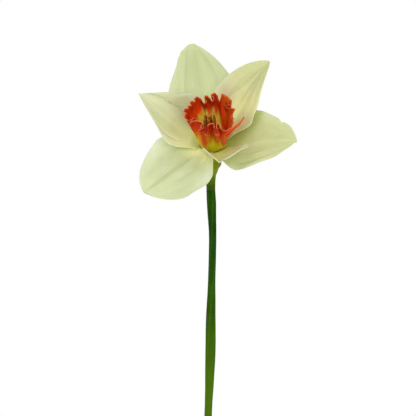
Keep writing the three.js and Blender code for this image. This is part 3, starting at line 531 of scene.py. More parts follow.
def turned_piece(name, outline, sides):
    """Walks a ring through (radius, height) places by extruding its edge, as on a wheel."""
    start_fresh()
    radius, height = outline[0]
    bpy.ops.mesh.primitive_circle_add(vertices=sides, radius=radius * MM, location=(0, 0, 0))
    piece = call_it(name)
    bpy.ops.object.mode_set(mode="EDIT")
    bpy.ops.mesh.select_all(action="SELECT")
    bpy.ops.transform.translate(value=(0, 0, height * MM))
    for (r0, z0), (r1, z1) in zip(outline, outline[1:]):
        lift = (0, 0, (z1 - z0) * MM)
        bpy.ops.mesh.extrude_edges_move(TRANSFORM_OT_translate={"value": lift})
        grow = (r1 / r0, r1 / r0, 1)
        bpy.ops.transform.resize(value=grow, center_override=(0, 0, 0))
    return close_up(piece)


# Nodes.


def paint(red, green, blue):
    """A colour from screen values of 0 to 255."""
    def linear(value):
        share = value / 255
        if share <= 0.04045:
            return share / 12.92
        return ((share + 0.055) / 1.055) ** 2.4
    return (linear(red), linear(green), linear(blue), 1)


class Nodes:
    """Short ways to add nodes to one tree. A term is a socket or a plain value."""

    def __init__(self, tree):
        self.tree = tree

    def fill(self, socket, term):
        if isinstance(term, bpy.types.NodeSocket):
            self.tree.links.new(term, socket)
        else:
            socket.default_value = term

    def add(self, kind, terms, **settings):
        """One node's outputs: settings are its own options, terms go into its sockets."""
        made = self.tree.nodes.new(kind)
        for key, value in settings.items():
            setattr(made, key, value)
        for key, term in terms.items():
            self.fill(made.inputs[key], term)
        return made.outputs

    def sums(self, operation, *terms):
        """One step of arithmetic."""
        return self.add("ShaderNodeMath", dict(enumerate(terms)), operation=operation)[0]

    def split(self, place):
        return self.add("ShaderNodeSeparateXYZ", {"Vector": place})

    def spread(self, value, low, high, top=1.0, ease="SMOOTHSTEP"):
        """Runs from 0 to top while the value runs from low to high."""
        terms = {"Value": value, "From Min": low, "From Max": high, "To Max": top}
        return self.add("ShaderNodeMapRange", terms, interpolation_type=ease)["Result"]

    def cloud(self, place, scale, **terms):
        """Soft noise."""
        return self.add("ShaderNodeTexNoise", dict(terms, Vector=place, Scale=scale))["Fac"]

    def blend(self, share, first, second):
        """A colour between two: sockets, three screen values, or four of the shader's own."""
        terms = {MIX_SHARE: share}
        for key, colour in zip(MIX_COLOURS, (first, second)):
            screen = isinstance(colour, tuple) and len(colour) == 3
            terms[key] = paint(*colour) if screen else colour
        return self.add("ShaderNodeMix", terms, data_type="RGBA")[MIX_RESULT]

    def ramp(self, source, *stops):
        """Colours read off along a value."""
        made = self.tree.nodes.new("ShaderNodeValToRGB")
        self.fill(made.inputs["Fac"], source)
        made.color_ramp.interpolation = "EASE"
        marks = made.color_ramp.elements
        while len(marks) < len(stops):
            marks.new(0.5)
        for mark, (place, shade) in zip(marks, stops):
            mark.position = place
            mark.color = paint(*shade)
        return made.outputs["Color"]


class Group(Nodes):
    """A node group that takes a place and numbers, and puts out masks and values."""

    def __init__(self, name, **inputs):
        super().__init__(bpy.data.node_groups.new(name, "ShaderNodeTree"))
        new_socket = self.tree.interface.new_socket
        new_socket("Place", in_out="INPUT", socket_type="NodeSocketVector")
        for label, value in inputs.items():
            socket = new_socket(label, in_out="INPUT", socket_type="NodeSocketFloat")
            socket.default_value = value
        self.start = self.tree.nodes.new("NodeGroupInput").outputs

    def close(self, **results):
        """Puts out the results, and gives back the group's tree."""
        for label in results:
            self.tree.interface.new_socket(label, in_out="OUTPUT", socket_type="NodeSocketFloat")
        end = self.tree.nodes.new("NodeGroupOutput")
        for label, result in results.items():
            self.fill(end.inputs[label], result)
        return self.tree


def veins_group():
    """Parallel veins along a surface: x runs across them and y along them."""
    group = Group("veins", Count=40.0, Wander=1.0)
    sums = group.sums
    parts = group.split(group.start["Place"])
    across = sums("MULTIPLY", parts["X"], group.start["Count"])
    along = sums("MULTIPLY", parts["Y"], 3.0)
    spot = group.add("ShaderNodeCombineXYZ", {"X": across, "Y": along})[0]
    drift = group.cloud(spot, 0.35, Detail=2.0)
    phase = sums("ADD", across, sums("MULTIPLY", drift, group.start["Wander"]))
    wave = sums("SINE", sums("MULTIPLY", phase, 2 * math.pi))
    ridge = sums("MULTIPLY_ADD", wave, 0.5, 0.5)
    line = sums("MULTIPLY", sums("POWER", ridge, 5.0), group.cloud(spot, 1.3, Detail=3.0))
    return group.close(Ridge=ridge, Line=line, Broad=drift)


def mottle_group():
    """Soft uneven patches, from 0 to 1."""
    group = Group("mottle", Scale=60.0, Low=0.35, High=0.65)
    place, scale, low, high = (group.start[key] for key in ("Place", "Scale", "Low", "High"))
    broad = group.cloud(place, scale, Detail=4.0, Roughness=0.55)
    fine = group.cloud(place, group.sums("MULTIPLY", scale, 9.0), Detail=3.0, Roughness=0.7)
    return group.close(Mask=group.spread(broad, low, high, ease="LINEAR"), Fine=fine)


def margin_group():
    """How near a sheet's point is to its long edges, its midrib and its ends, from its own map."""
    group = Group("margin", Width=0.13, Reach=0.3, Slant=0.0, Lean=0.0)
    start = group.start
    sums = group.sums
    parts = group.split(start["Place"])
    off = sums("ABSOLUTE", sums("SUBTRACT", parts["X"], 0.5))
    aside = sums("SUBTRACT", 0.5, parts["X"])
    edge = group.spread(off, sums("SUBTRACT", 0.5, start["Width"]), 0.5)
    tip = group.spread(parts["Y"], 0.35, 0.85)
    # Slant lets the foot's tint, with its painted light and shade, reach further on one side; Lean keeps
    # the edge's painted highlight on one side only towards the tip.
    reach = sums("MULTIPLY_ADD", aside, start["Slant"], start["Reach"])
    leaning = sums("MULTIPLY", aside, sums("MULTIPLY", start["Lean"], -4.0))
    kept = sums("MAXIMUM", sums("ADD", leaning, 1.0), sums("SUBTRACT", 1.0, tip))
    return group.close(
        Edge=sums("MULTIPLY", edge, sums("MINIMUM", kept, 1.0)),
        Foot=group.spread(parts["Y"], reach, 0.02),
        Tip=tip,
        Rib=group.spread(off, 0.045, 0.0, ease="LINEAR"),
    )


VEINS = veins_group()
MOTTLE = mottle_group()
MARGIN = margin_group()


class Finish(Nodes):
    """A material with its Principled shader; sockets hold its uniform values."""

    def __init__(self, name, **sockets):
        self.material = bpy.data.materials.new(name)
        self.material.use_nodes = True
        super().__init__(self.material.node_tree)
        self.shader = self.tree.nodes["Principled BSDF"].inputs
        for key, value in sockets.items():
            label = key.replace("_", " ").title().replace("Ior", "IOR")
            self.shader[label].default_value = value
        where = self.tree.nodes.new("ShaderNodeTexCoord").outputs
        self.place = where["Object"]
        self.map = where["UV"]

    def effect(self, group, place, **numbers):
        return self.add("ShaderNodeGroup", dict(numbers, Place=place), node_tree=group)

    def veins(self, count, wander):
        return self.effect(VEINS, self.map, Count=count, Wander=wander)

    def mottle(self, scale, low=0.35, high=0.65):
        return self.effect(MOTTLE, self.place, Scale=scale, Low=low, High=high)

    def layers(self, colour, *tints):
        """Lays tints over a colour, each as its mask, its strength and its own colour."""
        for mask, strength, shade in tints:
            colour = self.blend(self.sums("MULTIPLY", mask, strength), colour, shade)
        return colour

    def relief(self, height, strength, distance):
        """Fine relief of a height in millimetres."""
        terms = {"Height": height, "Strength": strength, "Distance": distance * MM}
        self.fill(self.shader["Normal"], self.add("ShaderNodeBump", terms)["Normal"])

    def done(self, colour):
        self.fill(self.shader["Base Color"], colour)
        return self.material


# Finishes.


def tepal_finish(tone):
    """Pale veined tissue with a green midrib, paler margins under a painted highlight, painted shade
    at its tips, and the throat's tint at its foot with painted light and shade.
    """
    look = TONES[tone]
    skin = Finish(
        "tepal_" + tone, roughness=0.55, specular_ior_level=0.3, subsurface_weight=0.6,
        subsurface_scale=0.003, subsurface_radius=(0.8, 1.0, 0.5), sheen_weight=0.05,
    )
    veins = skin.veins(26.0, 1.6)
    fine = skin.veins(70.0, 2.5)
    patches = skin.mottle(75.0)
    margin = skin.effect(MARGIN, skin.map, **look["map"])
    height = skin.sums("MULTIPLY_ADD", veins["Ridge"], 0.55, skin.sums("MULTIPLY", fine["Ridge"], 0.35))
    calm = skin.sums("SUBTRACT", 1.0, skin.sums("POWER", margin["Tip"], 9.0))
    height = skin.sums("MULTIPLY", height, calm)
    skin.relief(skin.sums("MULTIPLY_ADD", patches["Fine"], 0.35, height), 0.7, 0.15)
    # Veins, a painted highlight on the margins, painted shade at the tips, the midrib, and the foot's
    # tint with painted light and shade.
    return skin.done(skin.layers(
        skin.blend(patches["Mask"], look["middle"], look["dim"]),
        (veins["Line"], 0.65, look["dim"]), (margin["Edge"], 0.7, look["edge"]),
        (margin["Tip"], 0.7, look["tip"]), (margin["Rib"], look["rib"], RIB_GREEN),
        (margin["Foot"], 0.8, look["foot"]),
    ))


def corona_finish(name):
    """Red-orange petal tissue, streaked along, yellow-green where it comes from the tube, with painted
    highlights on its fold crests and rim, and painted shade in its valleys and near the viewer.
    """
    look = CUP[name]
    light = look["light"]
    skin = Finish(
        name, roughness=0.5, specular_ior_level=0.12, subsurface_weight=0.5,
        subsurface_scale=0.002, subsurface_radius=(1.0, 0.5, 0.15),
    )
    streaks = skin.veins(64.0, 2.2)
    blobs = skin.veins(30.0, 3.0)
    patches = skin.mottle(160.0)
    parts = skin.split(skin.map)
    climb = parts["Y"]
    fold = skin.add("ShaderNodeAttribute", {}, attribute_name="Fold")["Fac"]

    def turned_to(phase):
        """1 where the wall stands at this angle round the cup, and -1 opposite."""
        return skin.sums("COSINE", skin.sums("MULTIPLY_ADD", parts["X"], 2 * math.pi, -phase))

    pocket = skin.spread(turned_to(0.5), 0.15, 0.6, look["pocket"])
    wander = skin.sums("MULTIPLY_ADD", blobs["Broad"], 0.5, skin.sums("SUBTRACT", climb, 0.25))
    for value, share in (
        (skin.sums("MAXIMUM", fold, 0.0), look["crest"]), (fold, look["hollow"]),
        (streaks["Ridge"], 0.05), (turned_to(look["phase"]), look["lean"]), (pocket, 1.0),
    ):
        wander = skin.sums("MULTIPLY_ADD", value, share, wander)
    # The red: mottled, streaked, a painted highlight on the fold crests, the colour near the edge,
    # painted light in the right pocket, and painted shade in the fold valleys and on the front wall.
    red = skin.layers(
        skin.blend(patches["Mask"], look["deep"], look["mid"]),
        (streaks["Line"], 0.3, light), (skin.spread(fold, -0.2, 1.0), 0.4, light),
        (skin.spread(climb, 0.68, 0.95), 0.8, look["top"]), (pocket, 0.45, light),
        (skin.spread(fold, -0.6, -1.0), look["shade"], PAINTED_SHADE_RED),
        (skin.spread(turned_to(5.34), 0.5, 0.9), look["front"], PAINTED_SHADE_RED),
    )
    base = skin.blend(patches["Mask"], look["yellow"], look["green"])
    skin.relief(skin.sums("MULTIPLY_ADD", patches["Fine"], 0.5, streaks["Ridge"]), 0.5, 0.12)
    # Red over the yellow-green base, then a painted highlight along the rim.
    return skin.done(skin.layers(
        base, (skin.spread(wander, look["start"], look["full"]), 1.0, red),
        (skin.spread(climb, 0.955, 1.0), 0.5, light),
    ))


def corona_rim_finish():
    # The rim's cut edge: pale orange as a painted highlight, and darker round the back of the cup as
    # painted shade.
    skin = Finish("corona_edge", roughness=0.4, specular_ior_level=0.4)
    patches = skin.mottle(220.0)
    around = skin.sums("SINE", skin.sums("MULTIPLY", skin.split(skin.map)["X"], 2 * math.pi))
    skin.relief(patches["Fine"], 0.3, 0.06)
    return skin.done(skin.layers(
        skin.blend(patches["Mask"], (206, 88, 40), (232, 140, 92)),
        (skin.sums("MULTIPLY_ADD", around, 0.5, 0.35), 1.0, (184, 60, 22)),
    ))


def stem_finish(name, dark, mid, bloom, low, count, split):
    """Waxy green with glaucous streaks that follow its ribs, lighter towards its foot."""
    skin = Finish(
        name, roughness=0.55, specular_ior_level=0.05, subsurface_weight=0.08,
        subsurface_scale=0.001,
    )
    ribs = skin.veins(count, 1.2)
    fine = skin.veins(count * 5, 2.0)
    patches = skin.mottle(90.0)
    lower = skin.spread(skin.split(skin.place)["Z"], split[1], split[0])
    wax = skin.sums("MULTIPLY", ribs["Line"], 0.85)
    skin.fill(skin.shader["Roughness"], skin.sums("MULTIPLY_ADD", wax, 0.2, 0.45))
    skin.relief(skin.sums("MULTIPLY_ADD", fine["Ridge"], 0.5, ribs["Ridge"]), 0.5, 0.15)
    return skin.done(skin.layers(
        skin.blend(patches["Mask"], dark, mid),
        (lower, 0.75, low), (wax, 1.0, bloom), (fine["Line"], 0.3, mid),
    ))


def neck_finish():
    skin = Finish(
        "neck_green", roughness=0.55, specular_ior_level=0.08, subsurface_weight=0.1,
        subsurface_scale=0.001,
    )
    patches = skin.mottle(140.0)
    ribs = skin.veins(6.0, 0.8)
    # Dark green at the scape, yellow-green along the tube, and at the mouth a pale yellow that is also
    # painted light against the shade inside the bloom.
    green = skin.ramp(
        skin.split(skin.map)["Y"], (0.0, (34, 74, 0)), (0.2, (74, 108, 0)), (0.42, (130, 146, 0)),
        (0.8, (132, 140, 0)), (1.0, (218, 212, 96)),
    )
    skin.relief(skin.sums("MULTIPLY_ADD", patches["Fine"], 0.5, ribs["Ridge"]), 0.4, 0.12)
    return skin.done(skin.layers(
        green, (patches["Mask"], 0.35, (104, 112, 8)), (ribs["Line"], 0.4, (78, 96, 4)),
    ))


def stamen_finish():
    skin = Finish("stamen_pollen", roughness=0.75, specular_ior_level=0.2)
    patches = skin.mottle(420.0)
    stalk = skin.ramp(
        skin.split(skin.map)["Y"], (0.0, (196, 190, 60)), (0.5, (206, 176, 60)),
        (0.64, (190, 122, 30)), (1.0, (186, 112, 24)),
    )
    skin.relief(patches["Fine"], 0.6, 0.1)
    return skin.done(skin.blend(patches["Mask"], stalk, (150, 84, 10)))


def papery_finish(name, pale, tan, brown, count):
    """Dry skin: thin, veined and blotched."""
    skin = Finish(
        name, roughness=0.6, specular_ior_level=0.3, subsurface_weight=0.15,
        subsurface_scale=0.001,
    )
    veins = skin.veins(count, 1.8)
    patches = skin.mottle(130.0)
    skin.relief(skin.sums("MULTIPLY_ADD", patches["Fine"], 0.6, veins["Ridge"]), 0.7, 0.2)
    blotched = skin.blend(patches["Mask"], pale, tan)
    return skin.done(skin.layers(blotched, (veins["Line"], 0.8, brown)))


def clay_finish():
    """Fired clay: lines from the wheel, dark grains, and lime where its foot was damp."""
    skin = Finish("clay", roughness=0.88, specular_ior_level=0.2)
    patches = skin.mottle(22.0, 0.3, 0.72)
    grains = skin.mottle(260.0, 0.55, 0.7)
    flat = skin.add("ShaderNodeMapping", {"Vector": skin.place, "Scale": (14, 14, 620)})[0]
    lines = skin.cloud(flat, 1.0, Detail=3.0)
    damp = skin.spread(skin.split(skin.place)["Z"], 0.02, 0.0)
    lime = skin.sums("MULTIPLY", damp, patches["Mask"])
    skin.relief(skin.sums("MULTIPLY_ADD", lines, 1.6, grains["Fine"]), 0.55, 0.35)
    return skin.done(skin.layers(
        skin.blend(patches["Mask"], (196, 112, 74), (178, 92, 58)),
        (lines, 0.3, (212, 136, 98)), (lime, 0.5, (214, 190, 168)),
        (grains["Mask"], 0.22, (150, 76, 48)),
    ))


def compost_finish():
    skin = Finish("compost", roughness=0.95, specular_ior_level=0.15)
    patches = skin.mottle(110.0)
    grains = skin.mottle(420.0, 0.5, 0.66)
    skin.relief(skin.sums("MULTIPLY_ADD", grains["Fine"], 0.6, patches["Fine"]), 0.9, 0.8)
    earth = skin.blend(patches["Mask"], (62, 44, 32), (38, 27, 20))
    return skin.done(skin.layers(earth, (grains["Mask"], 0.5, (96, 72, 52))))


def floor_finish():
    paper = Finish("floor_paper", roughness=0.8, specular_ior_level=0.2)
    patches = paper.mottle(3.0)
    return paper.done(paper.blend(patches["Mask"], (0.86, 0.86, 0.85, 1), (0.88, 0.88, 0.87, 1)))


# Tepals.


def tepal_half(spec, u, t):
    """Half width of a tepal's side."""
    half, widest, fullness, roundness, _ = spec["ccw" if t > 0 else "cw"]
    if u < widest:
        share = mix(TEPAL["foot_half"] / half, 1, math.sin(math.pi / 2 * u / widest))
    else:
        share = (1 - ((u - widest) / (1 - widest)) ** fullness) ** roundness
    width = half * share
    for side, place, reach, growth in spec["swells"]:
        if t * side > 0:
            width += growth * math.exp(-((u - place) / reach) ** 2)
    return max(TEPAL["tip_half"], width)


def tepal_section(spec, u, t):
    """How far a point of the section lies across and up, in millimetres."""
    half = tepal_half(spec, u, t)
    cup = along_three(spec["cup"], u)
    crease = math.radians(along_three(spec["ccw" if t > 0 else "cw"][4], u))
    bend = cup * abs(t)
    across = math.sin(bend) / cup * math.copysign(1, t) if cup > 0.001 else t
    lift = (1 - math.cos(bend)) / cup if cup > 0.001 else 0
    fold = math.sqrt(t * t + 0.02) - math.sqrt(0.02)
    across = across * math.cos(crease) * half
    lift = (lift + fold * math.sin(crease)) * half
    for side, share, turn, start, end in spec["curls"]:
        past = abs(t) - (1 - share)
        angle = math.radians(turn) * window(start, end, u, 0.2)
        if t * side > 0 and past > 0 and abs(angle) > 0.01:
            radius = share * half / angle
            run = past * half
            across -= side * (run - radius * math.sin(run / radius))
            lift += radius * (1 - math.cos(run / radius))
    for at_foot, at_tip, height, width, start, end, sharp in spec["folds"]:
        off = abs(t - mix(at_foot, at_tip, u)) / width
        shape = math.exp(-1.4 * off) if sharp else math.exp(-off * off)
        lift += height * shape * window(start, end, u, 0.2) * min(1, half / 11)
    for side, height, cycles, phase, start, end in spec["waves"]:
        if t * side > 0:
            swing = math.sin(2 * math.pi * (cycles * u + phase))
            lift += height * swing * abs(t) ** 3 * window(start, end, u, 0.2) * min(1, half / 6)
    lift += TEPAL["uneven"] * grain(t * 5 + spec["phi"], u * 7, 0.3) * min(1, half / 6)
    return across, lift


def rib_frame(azimuth, pitch, roll):
    """Directions along, across and up from a midrib."""
    turn = Matrix.Rotation(math.radians(azimuth), 3, "Z")
    turn = turn @ Matrix.Rotation(-math.radians(pitch), 3, "Y")
    turn = turn @ Matrix.Rotation(math.radians(roll), 3, "X")
    return [axis.copy() for axis in turn.col]


def make_tepal(name, spec, finish):
    rows = TEPAL["rows"]
    middle = round_at(math.radians(spec["phi"]), spec["ring"], spec["z"])
    stations = []
    before = None
    for i in range(rows + 1):
        u = i / rows
        hug = TEPAL["hug"] * (1 - smooth(0, TEPAL["hug_to"], u))
        along, across, up = rib_frame(
            spec["phi"] + along_three(spec["yaw"], u),
            along_three(spec["pitch"], u),
            along_three(spec["roll"], u),
        )
        if before:
            middle = middle + (along + before) * (spec["length"] / rows / 2)
        before = along
        stations.append((middle, across, up, along * hug))

    def place(u, v):
        t = 1 - 2 * u
        centre, across, up, hug = stations[round(v * rows)]
        side, lift = tepal_section(spec, v, t)
        skirt = Vector((0, 0, spec["skirt"] * (1 - smooth(0, TEPAL["skirt_to"], v))))
        return TO_PLANT @ (centre + across * side + up * lift - hug * t * t - skirt)

    piece = grid_sheet(name, TEPAL["columns"], rows, place)
    thicken(piece, TEPAL["thickness"])
    coat(piece, 80, finish)
    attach(piece, BODY)
    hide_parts(name)


# Corona and stamens.


def seen_from_front(right, up, beyond):
    """The bloom's own place of what the camera sees so far right and up from the mouth's middle."""
    out = CORONA["foot"] + CORONA["depth"] + beyond
    to_bloom = TO_PLANT.inverted()
    mouth = BLOOM["mouth"]
    eye = to_bloom @ (Vector(CAMERA["place"]) / MM)
    seen = to_bloom @ Vector((mouth[0] + right, CORONA["seen_at"], mouth[2] + up))
    return eye.lerp(seen, (out - eye.z) / (seen.z - eye.z))


def rim_roots(places):
    """The angle at the cup's foot from which each place of the rim grows, in turn round the cup."""
    angles = []
    for place in places:
        angle = math.atan2(place.y, place.x)
        while angles and angle < angles[-1] - math.pi:
            angle += 2 * math.pi
        angles.append(angle)
    for _ in range(CORONA["ease"]):
        padded = [angles[-1] - 2 * math.pi] + angles + [angles[0] + 2 * math.pi]
        angles = [(padded[k] + 2 * padded[k + 1] + padded[k + 2]) / 4 for k in range(len(angles))]
    return angles


def rim_curve():
    """Places and root angles along the closed rim."""
    places = [seen_from_front(*point) for point in RIM]
    roots = rim_roots(places)
    count = len(places)
    curve = []
    for k in range(count):
        span = [places[(k + i) % count] for i in (-1, 0, 1, 2)]
        turned = roots[(k + 1) % count] + (2 * math.pi if k == count - 1 else 0)
        for step in range(CORONA["columns"]):
            t = step / CORONA["columns"]
            curve.append((between(*span, t), mix(roots[k], turned, t)))
    return curve


def corona_wall(rim, root, s):
    """Point of the wall between the foot and a place of the rim, and how far it is folded out, counted
    as a hollow under the arches so that the finish paints shade there.
    """
    radius = mix(CORONA["foot_radius"], CORONA["rim_radius"], s ** CORONA["flare"])
    turn = math.cos(CORONA["flutes"] * (root - math.radians(CORONA["flute_at"])))
    flute = CORONA["flute_depth"] * turn * math.sin(math.pi * s)
    outward = round_at(root)
    top = CORONA["foot"] + CORONA["depth"]
    plain = Vector((CORONA["foot_aside"] * (1 - s), 0, CORONA["foot"] + CORONA["depth"] * s))
    gathered = clamp((s - CORONA["gather_from"]) / (1 - CORONA["gather_from"])) ** CORONA["gather"]
    pull = rim - (outward * CORONA["rim_radius"] + Vector((0, 0, top)))
    spot = Vector((rim.x, rim.y, 5 * s))
    wrinkle = noise.noise(spot * 0.42) + noise.noise(spot * 0.95)
    wrinkle *= clamp(2 * gathered) * CORONA["wrinkle"]
    low = max(0, top + CORONA["arch_below"] - rim.z)
    arch = CORONA["arch"] * low * math.sin(math.pi * clamp((s - 0.5) / 0.5))
    lip = CORONA["lip"] * (1 + 4 * noise.noise(Vector((rim.x, rim.y, 9)) * 0.3))
    rolled = lip * clamp((s - CORONA["lip_from"]) / (1 - CORONA["lip_from"])) ** 2
    # Under the arches the fold is lowered, so the finish lays painted shade inside them.
    folded = (pull.dot(outward) * gathered + flute + wrinkle) / 1.5 - 0.5 * arch
    rise = outward * (radius + flute + wrinkle + rolled) + Vector((0, 0, arch - 0.4 * abs(rolled)))
    return plain + rise + pull * gathered, clamp(folded, -1, 1)


def corona_cup(finishes):
    """The cup, with its folds as an attribute and a map that follows its root angles."""
    curve = rim_curve()
    rows = CORONA["rows"]
    total = len(curve)
    first = curve[0][1]
    cup = grid_sheet("corona", total, rows, lambda u, v: Vector((u, v, 0)) / MM)
    folds = cup.data.attributes.new("Fold", "FLOAT", "POINT")
    for vertex in cup.data.vertices:
        rim, root = curve[round(vertex.co.x * total) % total]
        wall, folded = corona_wall(rim, root, vertex.co.y)
        folds.data[vertex.index].value = folded
        vertex.co = TO_PLANT @ wall * MM
    for corner in cup.data.uv_layers.active.data:
        step = round(corner.uv.x * total)
        corner.uv.x = step // total + (curve[step % total][1] - first) / (2 * math.pi)
    close_up(cup, ends=False)
    for finish in finishes:
        cup.data.materials.append(finish)
    thicken(cup, CORONA["thickness"], material_offset=1, material_offset_rim=2)
    return cup


def corona_tongue(finishes):
    """The loose tongue at the rim, shaded as the cup is where the tongue leaves it."""
    curve = spline([seen_from_front(*point) for point in TONGUE["line"]])

    def place(u, v):
        ahead = heading(curve, v, 0.02)
        flat = square_to(ahead, Vector((0, -0.35, 1)))
        half = mix(TONGUE["half"], TONGUE["tip_half"], v ** 2)
        t = 2 * u - 1
        trough = ahead.cross(flat) * (TONGUE["trough"] * half * t * t)
        return TO_PLANT @ (curve(v) + flat * (t * half) + trough)

    strap = grid_sheet("tongue", TONGUE["columns"], TONGUE["rows"], place)
    for corner in strap.data.uv_layers.active.data:
        corner.uv = (0.1 * corner.uv.x, 0.57 - 0.07 * corner.uv.y)
    for finish in finishes:
        strap.data.materials.append(finish)
    thicken(strap, TONGUE["thickness"])
    return strap


def make_corona():
    finishes = [corona_finish(side) for side in CUP] + [corona_rim_finish()]
    piece = join([corona_cup(finishes), corona_tongue(finishes)], "corona")
    coat(piece, 70)
    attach(piece, BODY)
    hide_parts("corona")


def make_stamens():
    foot = -SEAT + 0.3
    top = foot + STAMENS["disc_height"]
    low = foot + STAMENS["disc_height"] / 2
    stalks = []
    for k in range(STAMENS["count"]):
        outward = round_at(math.radians(360 / STAMENS["count"] * k + STAMENS["first"]))
        height = STAMENS["height"] - 1.1 * (k % 2) + 0.5 * math.sin(3 * k)
        swell_from = 1 - STAMENS["anther_length"] / height
        run = ((0, low), (STAMENS["spread"], (low + height) / 2), (STAMENS["spread"] / 2, height))
        curve = spline([
            TO_PLANT @ (outward * (STAMENS["ring"] + off) + Vector((0, 0, z))) for off, z in run
        ])

        def anther(u, angle):
            t = clamp((u - swell_from) / (1 - swell_from))
            swell = math.sqrt(math.sin(math.pi * clamp(t, 0, 0.97))) if t > 0 else 0
            groove = 1 - 0.18 * swell * abs(math.cos(angle)) ** 6
            return max(0.12, mix(STAMENS["filament"], STAMENS["anther"], swell) * groove)

        stalks.append(tube("stamen", curve, anther, *STAMENS["stamen_grid"]))
    line = spline([TO_PLANT @ Vector((0, 0, z)) for z in (low, STAMENS["style_height"])])

    def style(u, angle):
        knob = window(0.93, 1.02, u, 0.04)
        lobes = 1 + 0.22 * knob * math.cos(3 * angle)
        return mix(STAMENS["style"], STAMENS["stigma"], knob) * lobes

    stalks.append(tube("style", line, style, *STAMENS["style_grid"]))
    hub, reach, edge = (STAMENS[key] for key in ("hub", "disc", "disc_edge"))
    disc = turned_piece("disc", [
        (hub, foot), (reach - edge, foot), (reach, foot + edge), (reach, top - edge),
        (reach - edge, top), (hub, top),
    ], STAMENS["disc_sides"])
    scale = Matrix.Scale(MM, 4)
    disc.data.transform(scale @ TO_PLANT @ scale.inverted())
    piece = join(stalks + [disc], "stamens_and_style")
    coat(piece, 50, stamen_finish())
    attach(piece, BODY)
    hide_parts("stamens_and_style")


# Stem.


def make_neck():
    """The bent neck: its ovary, three-sided, and the tube that opens into the bloom."""
    mouth = Vector(BLOOM["mouth"])
    out = (TO_PLANT.to_3x3() @ Vector((0, 0, 1))).normalized()
    points = [Vector(row[:3]) for row in NECK["run"]]
    points += [mouth - out * (SEAT + 1.6), mouth - out * SEAT]
    radii = [row[3] for row in NECK["run"]] + [NECK["mouth"] - 1.4, NECK["mouth"]]
    reach = travel(points)

    def radius(u, angle):
        k, part = span_at(reach, u)
        size = mix(radii[k], radii[k + 1], smooth(0, 1, part))
        ovary = max(0, 1 - ((u - NECK["ovary"]) / NECK["ovary_reach"]) ** 2)
        return size * (1 + NECK["lobes"] * ovary * math.cos(3 * angle))

    piece = tube("flower_neck", spline(points), radius, NECK["sides"], NECK["rows"])
    coat(piece, 50, neck_finish())
    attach(piece, BODY)
    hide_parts("flower_neck")


def make_scape():
    def radius(u, angle):
        wide = SCAPE["wide"] * mix(SCAPE["taper"], 1, min(1, 1.6 * u))
        deep = wide * SCAPE["deep"] / SCAPE["wide"]
        oval = 1 / math.hypot(math.cos(angle) / wide, math.sin(angle) / deep)
        keel = SCAPE["keel"] * (math.cos(angle) ** 8 + 0.35 * math.sin(angle) ** 10)
        shrink = 1 - 0.1 * smooth(0.97, 1, u)
        return (oval + keel) * shrink + SCAPE["rib"] * math.cos(SCAPE["ribs"] * angle)

    turn = math.pi * SCAPE["turns"]
    piece = tube("scape", spline(SCAPE["line"]), radius, SCAPE["sides"], SCAPE["rows"], turn)
    coat(piece, 50, stem_finish(
        "scape_green", (18, 56, 0), (34, 78, 0), (66, 102, 10), (84, 116, 2),
        count=4.0, split=(0.205, 0.3),
    ))
    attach(piece, BODY)
    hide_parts("scape")


def make_spathe():
    """The dry bract behind the neck, wrapped round it at its foot and crumpled further up."""
    rows = SPATHE["rows"]

    def frame_at(u):
        back = math.radians(SPATHE["back"] * u)
        side = math.radians(SPATHE["side"] * u)
        ahead = Vector((math.sin(side), math.sin(back), math.cos(back))).normalized()
        return ahead, square_to(ahead, Vector((-1, 0, 0)))

    stations = walk(Vector(SPATHE["foot"]), SPATHE["length"], rows, frame_at)

    def place(u, v):
        centre, across, up = stations[round(v * rows)]
        wrap = math.radians(mix(*SPATHE["wrap"], smooth(0.3, 0.6, v)))
        widen = mix(SPATHE["radius"], SPATHE["widest"], math.sin(math.pi * v * 0.6))
        t = 2 * u - 1
        torn = 0.03 * grain(t * 3, 2.2, 0) * v ** 4
        radius = max(0.4, widen * math.sqrt(max(0, 1 - (v * (1 - torn)) ** 3)))
        crumple = grain(t * 2.4, v * 6, 8.1) * SPATHE["crumple"] * v
        crumple += grain(t * 7, v * 9, 3.1) * SPATHE["crease"]
        angle = wrap * t
        radius_here = radius * (1 + 0.04 * math.sin(14 * t) * v) + crumple
        return centre + across * (radius * math.sin(angle)) - up * (radius_here * math.cos(angle))

    piece = grid_sheet("spathe", SPATHE["columns"], rows, place)
    thicken(piece, SPATHE["thickness"])
    paper = papery_finish("spathe_paper", (206, 186, 140), (176, 146, 96), (132, 96, 52), 15.0)
    coat(piece, 70, paper)
    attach(piece, BODY)
    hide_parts("spathe")


# Leaves, bulb, soil and pot.


def leaf_width(u):
    """Share of a leaf's full half width."""
    if u < LEAF["widen_by"]:
        return mix(LEAF["foot_share"], 1, math.sin(u / LEAF["widen_by"] * math.pi / 2))
    t = max(0, (u - LEAF["tip_from"]) / (1 - LEAF["tip_from"]))
    return max(0.1, math.sqrt(max(0, 1 - t * t)))


